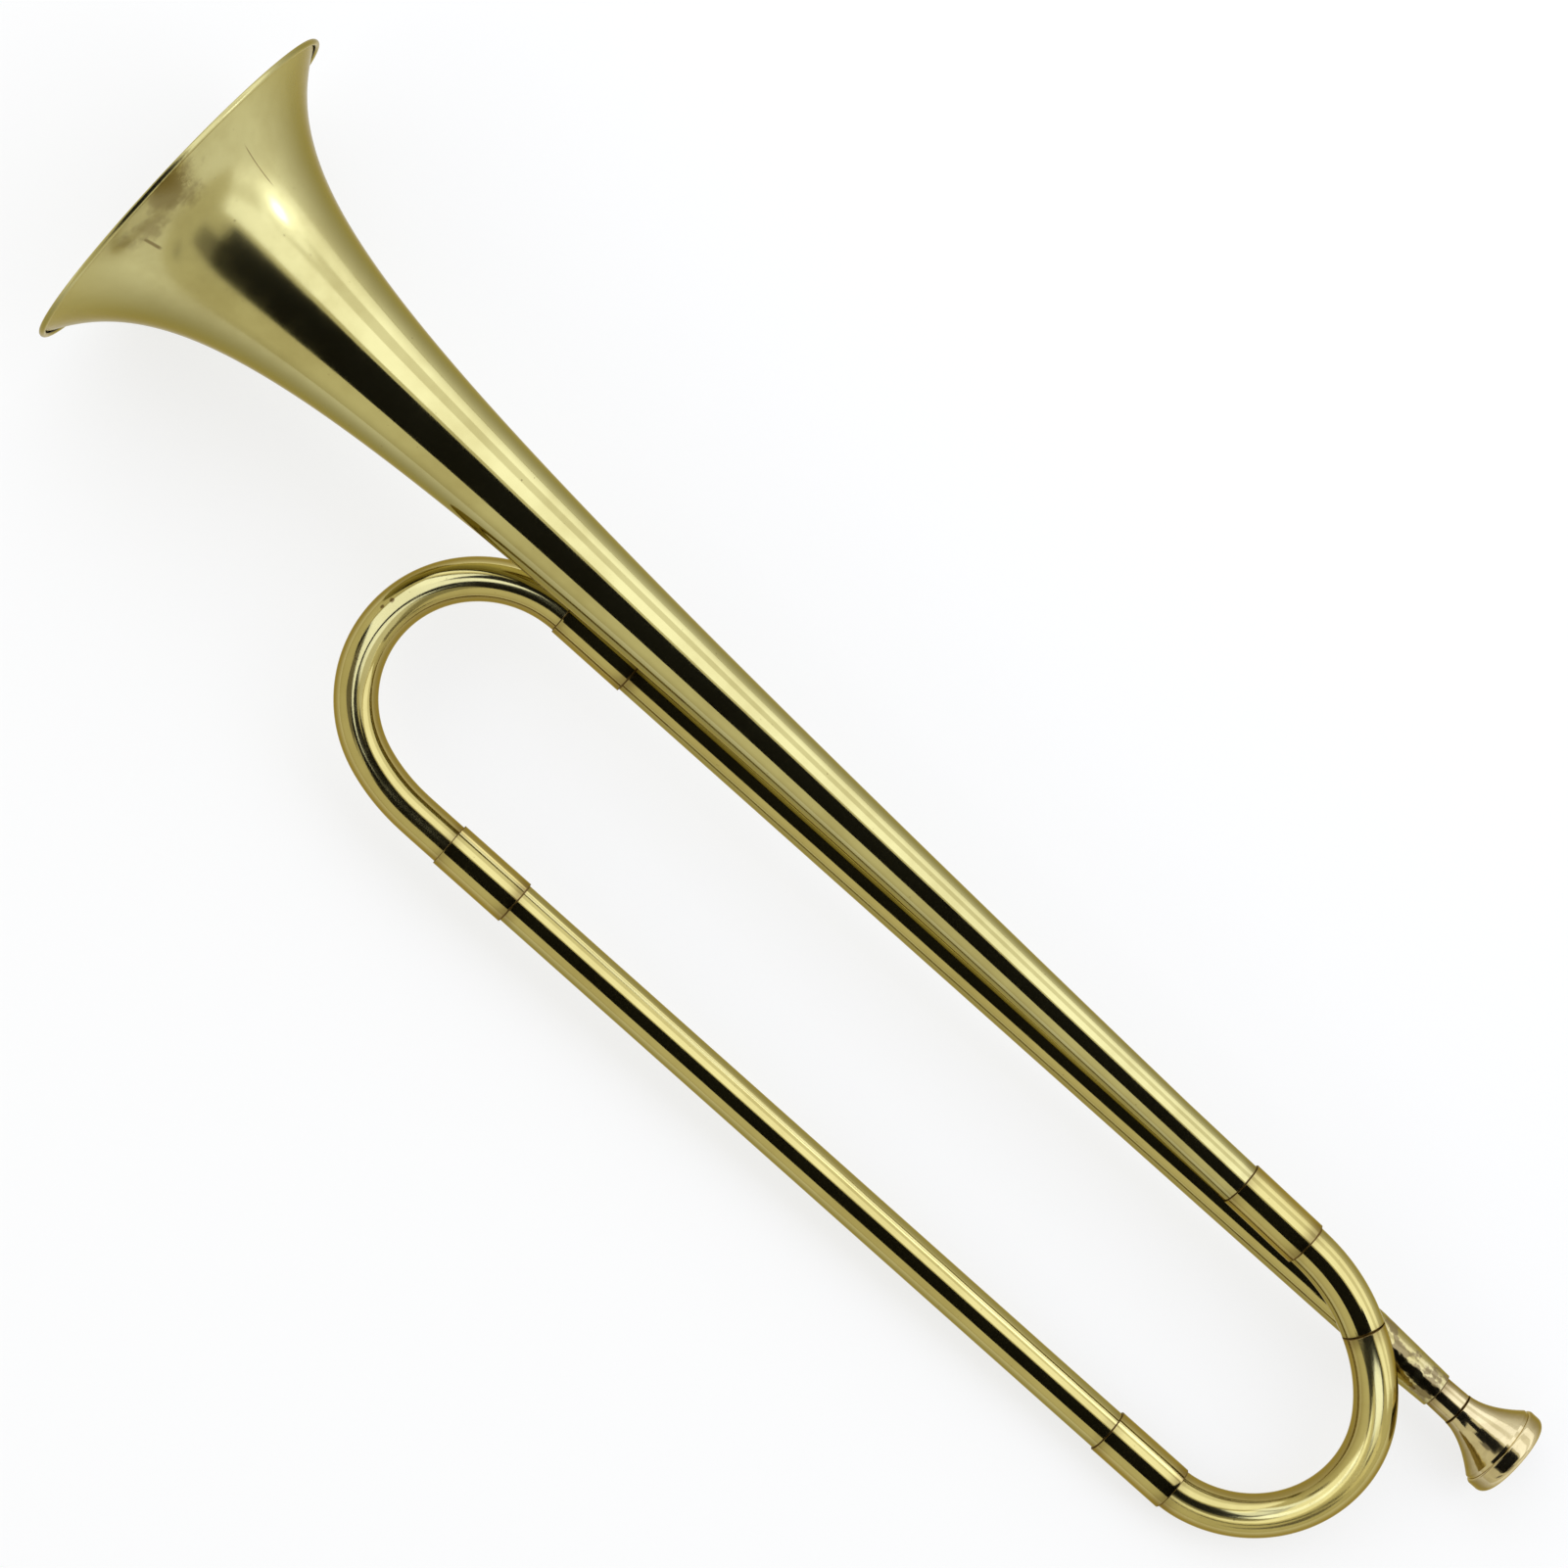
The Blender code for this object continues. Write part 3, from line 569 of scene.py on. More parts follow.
def cup():
    """The cup: flared outside, with a rim band behind a rounded edge and a bowl inside."""
    edge_centre = (CUP_RIM_RADIUS - CUP_EDGE_ROUND, CUP_LENGTH - CUP_EDGE_ROUND)
    edge = arc(CUP_EDGE_ROUND, edge_centre, math.pi / 2, 0.0, CUP_ROUND_STEPS)
    band_centre = (CUP_RIM_RADIUS - CUP_GROOVE, CUP_LENGTH - CUP_RIM_BAND + CUP_GROOVE + CUP_GROOVE)
    band = arc(CUP_GROOVE, band_centre, 0.0, -math.pi / 2, CUP_GROOVE_STEPS)
    lip_centre = (CUP_INNER_RADIUS + CUP_LIP_ROUND, CUP_LENGTH - CUP_LIP_ROUND)
    lip = arc(CUP_LIP_ROUND, lip_centre, math.pi, math.pi / 2, CUP_ROUND_STEPS)
    socket = SPIGOT_RADIUS + SLIP_GAP
    bore = [(socket, END_GAP / 2), (socket, SPIGOT_LENGTH), (THROAT_RADIUS, SPIGOT_LENGTH)]
    outline = edge + band + cup_flare()[::-1] + bore + cup_bowl(lip[0][1]) + lip[:-1]
    return turned("turned_cup", outline, TURNED_STEPS, CUP_JOINT, -X_AXIS, [(END_GAP / 2, 1)])


def bow_pieces():
    """The elbow, its inner sleeve and the return bend, cut from one route."""
    line = BELL_BOW_LINE
    end = line_length(line)
    normal = X_AXIS.cross(ACROSS)
    elbow = stretch(line, END_GAP / 2, SEAM - END_GAP / 2)
    sleeve = stretch(line, SEAM - SLEEVE_LENGTH / 2, SEAM + SLEEVE_LENGTH / 2)
    bow = stretch(line, SEAM + END_GAP / 2, end - END_GAP / 2)
    elbow_seams = [(FERRULE_LENGTH / 2, 1), (SEAM - END_GAP, -1)]
    bow_seams = [(0.0, 1), (end - SEAM - FERRULE_LENGTH / 2, -1)]
    return [
        swept("bent_elbow", elbow, normal, TUBE_RADIUS, TUBE_WALL, elbow_seams),
        swept("seam_sleeve", sleeve, normal, TUBE_BORE - SLIP_GAP, SLEEVE_WALL),
        swept("bent_bell_bow", bow, normal, TUBE_RADIUS, TUBE_WALL, bow_seams),
    ]


def mouthpipe_bow():
    line = MOUTHPIPE_BOW_LINE
    end = line_length(line)
    bow = stretch(line, END_GAP / 2, end - END_GAP / 2)
    seams = [(FERRULE_LENGTH / 2, 1), (end - FERRULE_LENGTH / 2, -1)]
    return swept("bent_mouthpipe_bow", bow, -UP, TUBE_RADIUS, TUBE_WALL, seams)


# Finishes

# The flank colour of a look is painted shade: a deeper tone for sideways faces and the bell mouth, standing
# in for shade.
Look = namedtuple("Look", "bright deep flank edge tarnish polish coat mottle")
ALONG = (1.0, 1.0, 0.02)       # how closely the fine lines lie for a drawn piece
ROUND = (0.02, 0.02, 1.0)      # and for a turned one
EDGE = (0.72, 0.62, 0.36, 1.0)  # how much a surface seen edge-on still reflects
TARNISH = (0.13, 0.075, 0.02, 1.0)
HANDLED = (0.20, 0.15, 0.075, 1.0)
# Painted shade colour for the sideways faces of ferrules and bows
GOLDEN_PAINTED_SHADE = (0.28, 0.205, 0.05, 1.0)
STEEL = (0.45, 0.45, 0.46, 1.0)
STEEL_DEEP = (0.36, 0.36, 0.37, 1.0)
RUST = (0.12, 0.07, 0.04, 1.0)
# The third colour of each look is its painted shade for sideways faces.
TUBE_LOOK = Look((0.60, 0.52, 0.205, 1.0), (0.53, 0.45, 0.165, 1.0), (0.29, 0.24, 0.075, 1.0), EDGE,
                 TARNISH, polish=0.055, coat=0.1, mottle=0.0)
BELL_LOOK = Look((0.65, 0.595, 0.275, 1.0), (0.55, 0.49, 0.21, 1.0), (0.27, 0.235, 0.085, 1.0), EDGE,
                 TARNISH, polish=0.055, coat=0.1, mottle=0.0)
MOUTHPIECE_LOOK = Look((0.75, 0.65, 0.39, 1.0), (0.62, 0.515, 0.28, 1.0), (0.28, 0.215, 0.09, 1.0), EDGE,
                       TARNISH, polish=0.09, coat=0.0, mottle=0.1)
WIRE_LOOK = Look(STEEL, STEEL_DEEP, STEEL_DEEP, STEEL, RUST, polish=0.3, coat=0.0, mottle=0.3)
FERRULE_LOOK = TUBE_LOOK._replace(flank=GOLDEN_PAINTED_SHADE)
MOUTHPIPE_BOW_LOOK = FERRULE_LOOK._replace(polish=0.085)
BELL_BOW_LOOK = FERRULE_LOOK._replace(polish=0.12)
RECEIVER_LOOK = TUBE_LOOK._replace(bright=(0.58, 0.51, 0.27, 1.0), tarnish=HANDLED, polish=0.13, mottle=0.8)

# Noises in the metal as (scale, detail, roughness)
LINES = (1600.0, 3.0, 0.6)
CLOUDS = (42.0, 4.0, 0.6)
SMUDGES = (120.0, 5.0, 0.65)
DENTS = (260.0, 2.0, 0.5)
WAVES = (38.0, 1.0, 0.5)
PITS = (900.0, 1.0, 0.5)
PATCHES = (300.0, 3.0, 0.5)

# Tone, painted shade and tarnish, with the dark lines: the values between which each sets in or fades, and
# how strongly it shows
CLOUD_TONES = (0.35, 0.7)
MOUTH_PAINTED_SHADE = 0.25              # share of the painted flank shade laid over the buffed flare at the bell mouth
SMUDGED = (0.3, 0.7)
STAIN_WIDTH = 0.5 * MM
STAIN_SPREAD = (0.3, 1.0)      # narrowest and widest share of that width
STAIN_FADE = (0.35, 1.0)
HALO_REACH = 5.0 * MM
HALO_STRENGTH = 0.55
HALO_CLOUDS = (0.35, 0.65)
PITTED = (0.76, 0.82)
PIT_STRENGTH = 0.5
PATCHED = (0.47, 0.57)
MARK_RAGGED = (-0.4, 0.4)
MARK_FADE = (0.3, 1.0)
DARK_LINE_CORE = 0.3             # share of a dark line's width that is fully dark
DARK_LINE_BODY = 0.6             # share of its length before it fades
DARK_LINE_STRENGTH = 0.7

# Roughness beyond the polish, and depth of the relief
WORN = (0.45, 0.75)
WORN_ROUGHNESS = 0.05
LINE_ROUGHNESS = 0.03
BUFFED = (0.2, 0.8)
BUFFED_ROUGHNESS = (0.10, 0.22)
STAIN_ROUGHNESS = 0.3
COAT_ROUGHNESS = 0.04
RIPPLE_DEPTH = 0.12 * MM
GRAIN_DEPTH = 0.0005 * MM
DENT_DEPTH = 3.5               # against the long waves of a drawn tube

# Marks as (angle in degrees, depth behind the mouth or way along the bow, size, strength)
FLARE_MARKS = [
    (97.0, 3.5 * MM, 9.0 * MM, 0.55),
    (79.0, 5.0 * MM, 7.0 * MM, 0.45),
]
BOW_MARKS = [
    (-60.0, 62.7 * MM, 0.7 * MM, 0.9),
    (-65.0, 59.7 * MM, 0.9 * MM, 0.9),
]

# Dark lines on the flare as two ends (angle in degrees, depth behind the mouth) and a width: the thin first
# one is a painted reflection edge, the second a short dark streak
FLARE_DARK_LINES = [
    ((126.0, 8.1 * MM), (130.2, 20.8 * MM), 0.22 * MM),
    ((75.6, 6.2 * MM), (74.5, 11.6 * MM), 0.7 * MM),
]


# Materials

class Shader:
    """A short way to add nodes: an input is a value or another node's output."""

    def __init__(self, tree):
        self.tree = tree

    def feed(self, socket, value):
        if isinstance(value, bpy.types.NodeSocket):
            self.tree.links.new(value, socket)
        else:
            socket.default_value = value

    def show(self, shading):
        """Makes a shading the material's surface."""
        self.feed(self.tree.nodes["Material Output"].inputs["Surface"], shading)

    def add(self, kind, output=0, settings=None, **inputs):
        node = self.tree.nodes.new(kind)
        for key, value in (settings or {}).items():
            setattr(node, key, value)
        for key, value in inputs.items():
            self.feed(node.inputs[key.replace("_", " ")], value)
        return node.outputs[output]

    def attribute(self, name, output="Fac"):
        return self.add("ShaderNodeAttribute", output, {"attribute_name": name})

    def math(self, operation, first, second=0.0):
        node = self.tree.nodes.new("ShaderNodeMath")
        node.operation = operation
        self.feed(node.inputs[0], first)
        self.feed(node.inputs[1], second)
        return node.outputs[0]

    def fold(self, operation, first, *others):
        """One operation over several values, from the first to the last."""
        for value in others:
            first = self.math(operation, first, value)
        return first

    def ramp(self, value, low, high, start=0.0, end=1.0):
        """A smooth step of a value, from start at low to end at high."""
        settings = {"interpolation_type": "SMOOTHSTEP"}
        return self.add("ShaderNodeMapRange", 0, settings, Value=value, From_Min=low, From_Max=high,
                        To_Min=start, To_Max=end)

    def vector(self, operation, first, second, output="Vector"):
        node = self.tree.nodes.new("ShaderNodeVectorMath")
        node.operation = operation
        self.feed(node.inputs[0], first)
        self.feed(node.inputs[1], second)
        return node.outputs[output]

    def distance(self, first, second):
        return self.vector("DISTANCE", first, second, "Value")

    def noise(self, vector, scale, detail, roughness):
        return self.add("ShaderNodeTexNoise", Vector=vector, Scale=scale, Detail=detail, Roughness=roughness)

    def bump(self, height, depth, **inputs):
        return self.add("ShaderNodeBump", Strength=1.0, Distance=depth, Height=height, **inputs)

    def mix(self, share, first, second):
        """A blend of two colours, through the colour sockets of the node."""
        node = self.tree.nodes.new("ShaderNodeMix")
        node.data_type = "RGBA"
        self.feed(node.inputs["Factor"], share)
        self.feed(node.inputs[6], first)
        self.feed(node.inputs[7], second)
        return node.outputs[2]


def new_material(name):
    material = bpy.data.materials.new(name)
    material.use_nodes = True
    material.node_tree.nodes.remove(material.node_tree.nodes["Principled BSDF"])
    return material, Shader(material.node_tree)


def joint_stain(shader, seam, smudges):
    """The dark line of dirt in a joint."""
    width = shader.math("MULTIPLY", shader.ramp(smudges, *SMUDGED, *STAIN_SPREAD), STAIN_WIDTH)
    return shader.ramp(shader.math("DIVIDE", seam, width), *STAIN_FADE, 1.0, 0.0)


def joint_halo(shader, seam, clouds):
    """The cloudy tarnish that fades away from a joint."""
    near = shader.ramp(seam, 0.0, HALO_REACH, HALO_STRENGTH, 0.0)
    return shader.math("MULTIPLY", near, shader.ramp(clouds, *HALO_CLOUDS))


def mark_dirt(shader, drawn, ragged, mark):
    """A single ragged patch of tarnish."""
    centre, size, strength = mark
    away = shader.math("DIVIDE", shader.distance(drawn, centre), size)
    return shader.ramp(shader.math("ADD", away, ragged), *MARK_FADE, strength, 0.0)


def dark_line_mark(shader, drawn, dark_line):
    """A straight dark line that fades at its ends."""
    centre, normal, reach, width = dark_line
    offset = shader.vector("SUBTRACT", drawn, centre)
    beside = shader.math("ABSOLUTE", shader.vector("DOT_PRODUCT", offset, normal, "Value"))
    line = shader.ramp(beside, DARK_LINE_CORE * width, width, 1.0, 0.0)
    ends = shader.ramp(shader.distance(drawn, centre), DARK_LINE_BODY * reach, reach, DARK_LINE_STRENGTH, 0.0)
    return shader.math("MULTIPLY", line, ends)


def roughness(shader, look, smudges, lines, clouds, satin, stain):
    """The polish, dulled by wear and by the fine lines, on the buffed flare and in dirty joints."""
    worn = shader.math("MULTIPLY", shader.ramp(smudges, *WORN), WORN_ROUGHNESS)
    streaks = shader.math("MULTIPLY", lines, LINE_ROUGHNESS)
    buffed = shader.math("MULTIPLY", satin, shader.ramp(clouds, *BUFFED, *BUFFED_ROUGHNESS))
    stained = shader.math("MULTIPLY", stain, STAIN_ROUGHNESS)
    return shader.fold("ADD", worn, streaks, look.polish, buffed, stained)


def relief(shader, look, drawn, lines):
    """The long waves and dents of the metal, and its fine lines."""
    dents = shader.math("MULTIPLY", shader.noise(drawn, *DENTS), DENT_DEPTH * look.mottle)
    waves = shader.math("ADD", shader.noise(drawn, *WAVES), dents)
    return shader.bump(lines, GRAIN_DEPTH, Normal=shader.bump(waves, RIPPLE_DEPTH))


def brass(name, look, grain_factors, marks=(), dark_lines=()):
    """Polished brass: drawn or turned lines, cloudy tone, painted shade on the flanks and at the bell mouth,
    smudges, dark lines and tarnish.
    """
    material, shader = new_material(name)
    drawn = shader.attribute("drawn", "Vector")
    seam = shader.math("ABSOLUTE", shader.attribute("seam"))
    satin = shader.attribute("satin")
    lines = shader.noise(shader.vector("MULTIPLY", drawn, grain_factors), *LINES)
    clouds = shader.noise(drawn, *CLOUDS)
    smudges = shader.noise(drawn, *SMUDGES)

    stain = joint_stain(shader, seam, smudges)
    halo = joint_halo(shader, seam, clouds)
    pits = shader.ramp(shader.noise(drawn, *PITS), *PITTED, 0.0, PIT_STRENGTH)
    patches = shader.ramp(shader.noise(drawn, *PATCHES), *PATCHED, 0.0, look.mottle)
    ragged = shader.ramp(smudges, *SMUDGED, *MARK_RAGGED)
    single = [mark_dirt(shader, drawn, ragged, mark) for mark in marks]
    single += [dark_line_mark(shader, drawn, dark_line) for dark_line in dark_lines]
    dirt = shader.fold("MAXIMUM", stain, halo, pits, patches, *single)

    tone = shader.mix(shader.ramp(clouds, *CLOUD_TONES), look.bright, look.deep)
    # Painted shade: sideways faces, and the buffed flare near the mouth, take the deeper flank colour in
    # place of reflected shade.
    mouth = shader.math("MULTIPLY", satin, MOUTH_PAINTED_SHADE)
    tone = shader.mix(shader.math("MAXIMUM", shader.attribute("flank"), mouth), tone, look.flank)
    shader.show(shader.add(
        "ShaderNodeBsdfPrincipled",
        Base_Color=shader.mix(dirt, tone, look.tarnish),
        Metallic=1.0,
        Roughness=roughness(shader, look, smudges, lines, clouds, satin, stain),
        Normal=relief(shader, look, drawn, lines),
        Specular_Tint=look.edge,
        Coat_Weight=look.coat,
        Coat_Roughness=COAT_ROUGHNESS,
    ))
    return material


def on_flare(degrees, depth):
    """A place on the outside of the bell, in the bell's own axes."""
    angle = math.radians(degrees)
    radius = horn_radius(depth, RIM_RADIUS)
    return Vector((radius * math.cos(angle), radius * math.sin(angle), -depth))


def on_tube(degrees, along):
    """A place on the outside of a bent tube that has been straightened."""
    angle = math.radians(degrees)
    return Vector((TUBE_RADIUS * math.cos(angle), TUBE_RADIUS * math.sin(angle), along))


def flare_dark_line(first_end, last_end, width):
    """A dark line on the flare as its middle, the direction across it, half its length and its width."""
    first = on_flare(*first_end)
    last = on_flare(*last_end)
    middle = (first + last) / 2
    outward = Vector((middle.x, middle.y, 0.0))
    return middle, (last - first).cross(outward).normalized(), (last - first).length / 2, width


# Dressing

def finishes():
    """The brass of each kind of piece, and the steel of the wire."""
    flare_marks = [(on_flare(angle, depth), size, strength) for angle, depth, size, strength in FLARE_MARKS]
    bow_marks = [(on_tube(angle, along), size, strength) for angle, along, size, strength in BOW_MARKS]
    # Thin dark lines on the flare: the first is a painted reflection edge.
    dark_lines = [flare_dark_line(*dark_line) for dark_line in FLARE_DARK_LINES]
    return {
        "tube": brass("drawn_tube_brass", TUBE_LOOK, ALONG),
        "ferrule": brass("drawn_ferrule_brass", FERRULE_LOOK, ALONG),
        "mouthpipe_bow": brass("bent_mouthpipe_bow_brass", MOUTHPIPE_BOW_LOOK, ALONG, bow_marks),
        "bell_bow": brass("bent_bell_bow_brass", BELL_BOW_LOOK, ALONG),
        "receiver": brass("handled_receiver_brass", RECEIVER_LOOK, ALONG),
        "bell": brass("spun_bell_brass", BELL_LOOK, ROUND, flare_marks, dark_lines),
        "mouthpiece": brass("turned_mouthpiece_brass", MOUTHPIECE_LOOK, ROUND),
        "wire": brass("drawn_wire_steel", WIRE_LOOK, ALONG),
    }


def dress(piece, node, body, material):
    piece.data.materials.append(material)
    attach(piece, body)
    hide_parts(node)


def dress_bugle():
    finish = finishes()
    elbow, sleeve, bow = bow_pieces()
    horn_brass = [
        (elbow, "bow_elbow", "tube"),
        (sleeve, "bow_joint_sleeve", "tube"),
        (lower_tube(), "lower_tube", "tube"),
        (leadpipe(), "leadpipe", "tube"),
        (ferrule("bell_ferrule_sleeve", BELL_TAIL, BELL_AXIS), "bell_ferrule", "ferrule"),
        (ferrule("front_ferrule_sleeve", LOWER_FRONT, X_AXIS), "lower_front_ferrule", "ferrule"),
        (ferrule("rear_ferrule_sleeve", LOWER_REAR, X_AXIS), "lower_rear_ferrule", "ferrule"),
        (ferrule("mouthpipe_ferrule_sleeve", ORIGIN, X_AXIS), "mouthpipe_ferrule", "ferrule"),
        (bow, "bell_bow", "bell_bow"),
        (mouthpipe_bow(), "mouthpipe_bow", "mouthpipe_bow"),
        (receiver(), "mouthpiece_receiver", "receiver"),
        (bell(), "bell", "bell"),
    ]
    for piece, node, kind in horn_brass:
        dress(piece, node, "horn", finish[kind])
    dress(rim_wire(), "bell_rim_wire", "horn", finish["wire"])
    dress(shank(), "mouthpiece_shank", "mouthpiece", finish["mouthpiece"])
    dress(cup(), "mouthpiece_cup", "mouthpiece", finish["mouthpiece"])


# Stage

PHOTO_SIDE = 1601.0
CAMERA_PLACE = Vector((0.020875, -0.007375, 1.530))
CAMERA_TURN = math.radians(221.83)
PIXEL_SIZE = 0.26 * MM          # of the photo, at PIXEL_DISTANCE from the lens
PIXEL_DISTANCE = 1.510
SENSOR = 36.0

# Colours of the walls, lights and cards
WALL_LIGHT = 0.70
WALL_COLOUR = (1.0, 0.955, 0.74)
STRIP_COLOUR = (0.93, 1.02, 1.38)
CARD_COLOUR = (0.98, 1.0, 1.03)
CARD_BLACK = (0.012, 0.012, 0.013, 1.0)
CARD_GREY = (0.22, 0.20, 0.17, 1.0)
CARD_SMOKE = (0.30, 0.28, 0.24, 1.0)
WHITE = (1.0, 1.0, 1.0, 1.0)

# Floor, with a lamp of its own
FLOOR_COLOUR = (0.93, 0.94, 0.97, 1.0)
FLOOR_SIZE = 12.0
FLOOR_DROP = 0.2 * MM
FLOOR_WHITE = 0.70              # share of the floor's plain white next to its lit surface
FLOOR_LIGHT_SIZE = (3.0, 3.0)
FLOOR_LIGHT_HEIGHT = 1.1
FLOOR_LIGHT_RADIANCE = 0.5
FLOOR_LIGHT_COLOUR = (0.98, 1.0, 1.04)

# Dark cards above the bugle, between two corners that are turned by degrees about the middle of the stage
Flag = namedtuple("Flag", "name low high height colour blocks turn")
FLAG_HEIGHT = 1.2
FLAGS = [
    Flag("black_flag", (-1.6, -0.27), (0.22, 1.25), FLAG_HEIGHT, CARD_BLACK, True, 0.0),
    Flag("front_flag", (0.22, -0.10), (0.80, 0.40), FLAG_HEIGHT, CARD_BLACK, True, 0.0),
    Flag("smoke_flag", (-3.2, 0.30), (-1.6, 1.25), FLAG_HEIGHT, CARD_SMOKE, False, 0.0),
    Flag("cup_flag", (0.13, -0.09), (0.75, 0.32), 0.45, CARD_BLACK, False, 0.0),
    Flag("mouthpipe_bow_flag", (0.16, 0.16), (0.32, 0.30), 0.30, CARD_GREY, False, 0.0),
    Flag("bell_bow_flag", (-0.60, 0.26), (-0.37, 0.45), 0.20, CARD_GREY, False, 0.0),
    Flag("seam_flag", (-0.08, 0.203), (0.020, 0.2205), 0.08, CARD_BLACK, False, 75.0),
]

# Long softboxes, between two angles from the zenith in degrees
Strip = namedtuple("Strip", "name first last radiance")
STRIP_DISTANCE = 1.7
STRIP_LENGTH = 8.0
STRIPS = [
    Strip("near_strip", 19.0, 47.0, 0.85),
    Strip("middle_strip", 47.0, 66.0, 0.40),
    Strip("far_strip", 66.0, 88.0, 0.85),
]

# Softbox low beside the tail, for the white spot on the flare and the glow round it
SPOT_TARGET = (0.2148, -0.0305, 0.0763)
SPOT_AIM = (-0.65, -0.69, 0.31)
SPOT_DISTANCE = 1.5
SPOT_SIZE = 0.17
SPOT_RADIANCE = 6.0
GLOW_SIZE = 0.62
GLOW_RADIANCE = 0.5

# Narrow pale card inside the loop
LOOP_CARD_SIZE = (0.40, 0.0125)
LOOP_CARD_RADIANCE = 1.4
LOOP_CARD_OFFSET = (0.0, -0.030, 0.0108)
LOWER_PIECES = ("drawn_lower_tube", "front_ferrule_sleeve", "rear_ferrule_sleeve")

# Pale cards that one of the bows sees
Card = namedtuple("Card", "name place size radiance colour bows turn")
MOUTHPIPE_BOW = ("bent_mouthpipe_bow",)
BELL_BOW = ("bent_bell_bow",)
CARD_HEIGHT = 1.15              # just under the black flag
FRONT_CARD_HEIGHT = 0.44        # just under the flag for the cup
BOW_CARDS = [
    Card("mouthpipe_bow_near", (-0.31, 0.335), (0.36, 0.31), 1.5, STRIP_COLOUR, MOUTHPIPE_BOW, 35.0),
    Card("mouthpipe_bow_left", (-1.0, 0.175), (1.20, 0.89), 0.85, CARD_COLOUR, MOUTHPIPE_BOW, 0.0),
    Card("mouthpipe_bow_inner", (-0.30, 0.095), (0.20, 0.29), 0.6, WALL_COLOUR, MOUTHPIPE_BOW, 0.0),
    Card("mouthpipe_bow_low", (-1.10, -0.185), (0.95, 0.17), 0.6, STRIP_COLOUR, MOUTHPIPE_BOW, 0.0),
    Card("mouthpipe_bow_back", (-1.0, 0.935), (1.20, 0.63), 0.35, WALL_COLOUR, MOUTHPIPE_BOW, 0.0),
    Card("bell_bow_left", (-1.0, 0.36), (0.90, 0.36), 1.7, STRIP_COLOUR, BELL_BOW, 41.0),
    Card("bell_bow_middle", (-0.555, 0.70), (0.21, 0.20), 0.9, CARD_COLOUR, BELL_BOW, 0.0),
    Card("bell_bow_back", (-0.975, 0.925), (1.05, 0.25), 0.85, WALL_COLOUR, BELL_BOW, 0.0),
    Card("bell_bow_near", (-0.25, 0.835), (0.40, 0.43), 1.5, CARD_COLOUR, BELL_BOW, 0.0),
    Card("bell_bow_right", (0.085, 0.775), (0.27, 0.95), 2.1, STRIP_COLOUR, BELL_BOW, 0.0),
    Card("bell_bow_shade", (-0.235, 0.52), (0.37, 0.20), 0.35, WALL_COLOUR, BELL_BOW, 0.0),
    Card("bell_bow_front", (0.61, 0.80), (0.78, 1.20), 0.85, STRIP_COLOUR, BELL_BOW, 0.0),
    Card("bell_bow_side", (-1.238, 0.557), (0.60, 0.25), 1.2, CARD_COLOUR, BELL_BOW, 41.0),
    Card("bell_bow_wall", (-2.25, 0.75), (1.40, 0.95), 0.7, WALL_COLOUR, BELL_BOW, 0.0),
    Card("bell_bow_top", (-0.25, 1.14), (0.40, 0.16), 2.0, CARD_COLOUR, BELL_BOW, 0.0),
    Card("bell_bow_under", (0.35, 0.0), (0.46, 0.40), 1.4, STRIP_COLOUR, BELL_BOW, 0.0),
]
FRONT_CARDS = [
    Card("mouthpipe_bow_right", (0.33, 0.125), (0.46, 0.17), 1.55, STRIP_COLOUR, MOUTHPIPE_BOW, 0.0),
    Card("mouthpipe_bow_brow", (0.40, -0.015), (0.32, 0.11), 1.7, STRIP_COLOUR, MOUTHPIPE_BOW, 0.0),
    Card("mouthpipe_bow_front", (0.655, 0.115), (0.19, 0.41), 0.6, WALL_COLOUR, MOUTHPIPE_BOW, 0.0),
    Card("bell_bow_low", (0.19, 0.115), (0.14, 0.41), 1.6, STRIP_COLOUR, BELL_BOW, 0.0),
    Card("bell_bow_far", (0.505, 0.115), (0.49, 0.41), 0.7, WALL_COLOUR, BELL_BOW, 0.0),
]


def camera():
    data = bpy.data.cameras.new("photo_camera")
    data.sensor_width = SENSOR
    data.lens = SENSOR * PIXEL_DISTANCE / (PIXEL_SIZE * PHOTO_SIDE)
    view = bpy.data.objects.new("photo_camera", data)
    view.location = CAMERA_PLACE
    view.rotation_euler = (0.0, 0.0, CAMERA_TURN)
    bpy.context.scene.collection.objects.link(view)
    bpy.context.scene.camera = view


def plane(name, low, high, height):
    mesh = bpy.data.meshes.new(name)
    corners = [(low[0], low[1]), (high[0], low[1]), (high[0], high[1]), (low[0], high[1])]
    mesh.from_pydata([(x, y, height) for x, y in corners], [], [(0, 1, 2, 3)])
    card = bpy.data.objects.new(name, mesh)
    bpy.context.scene.collection.objects.link(card)
    return card


def floor():
    """A pale floor that the camera and the metal see part lit, with its shadow, and part plain white."""
    half = FLOOR_SIZE / 2
    ground = plane("studio_floor", (-half, -half), (half, half), -FLOOR_DROP)
    material, shader = new_material("floor_white")
    path = shader.tree.nodes.new("ShaderNodeLightPath").outputs
    seen = shader.fold("MAXIMUM", path["Is Camera Ray"], path["Is Glossy Ray"], path["Is Transmission Ray"])
    blend = shader.tree.nodes.new("ShaderNodeMixShader")
    shader.feed(blend.inputs[0], shader.math("MULTIPLY", seen, FLOOR_WHITE))
    shader.feed(blend.inputs[1], shader.add("ShaderNodeBsdfDiffuse", Color=FLOOR_COLOUR))
    shader.feed(blend.inputs[2], shader.add("ShaderNodeEmission", Color=WHITE, Strength=1.0))
    shader.show(blend.outputs[0])
    ground.data.materials.append(material)


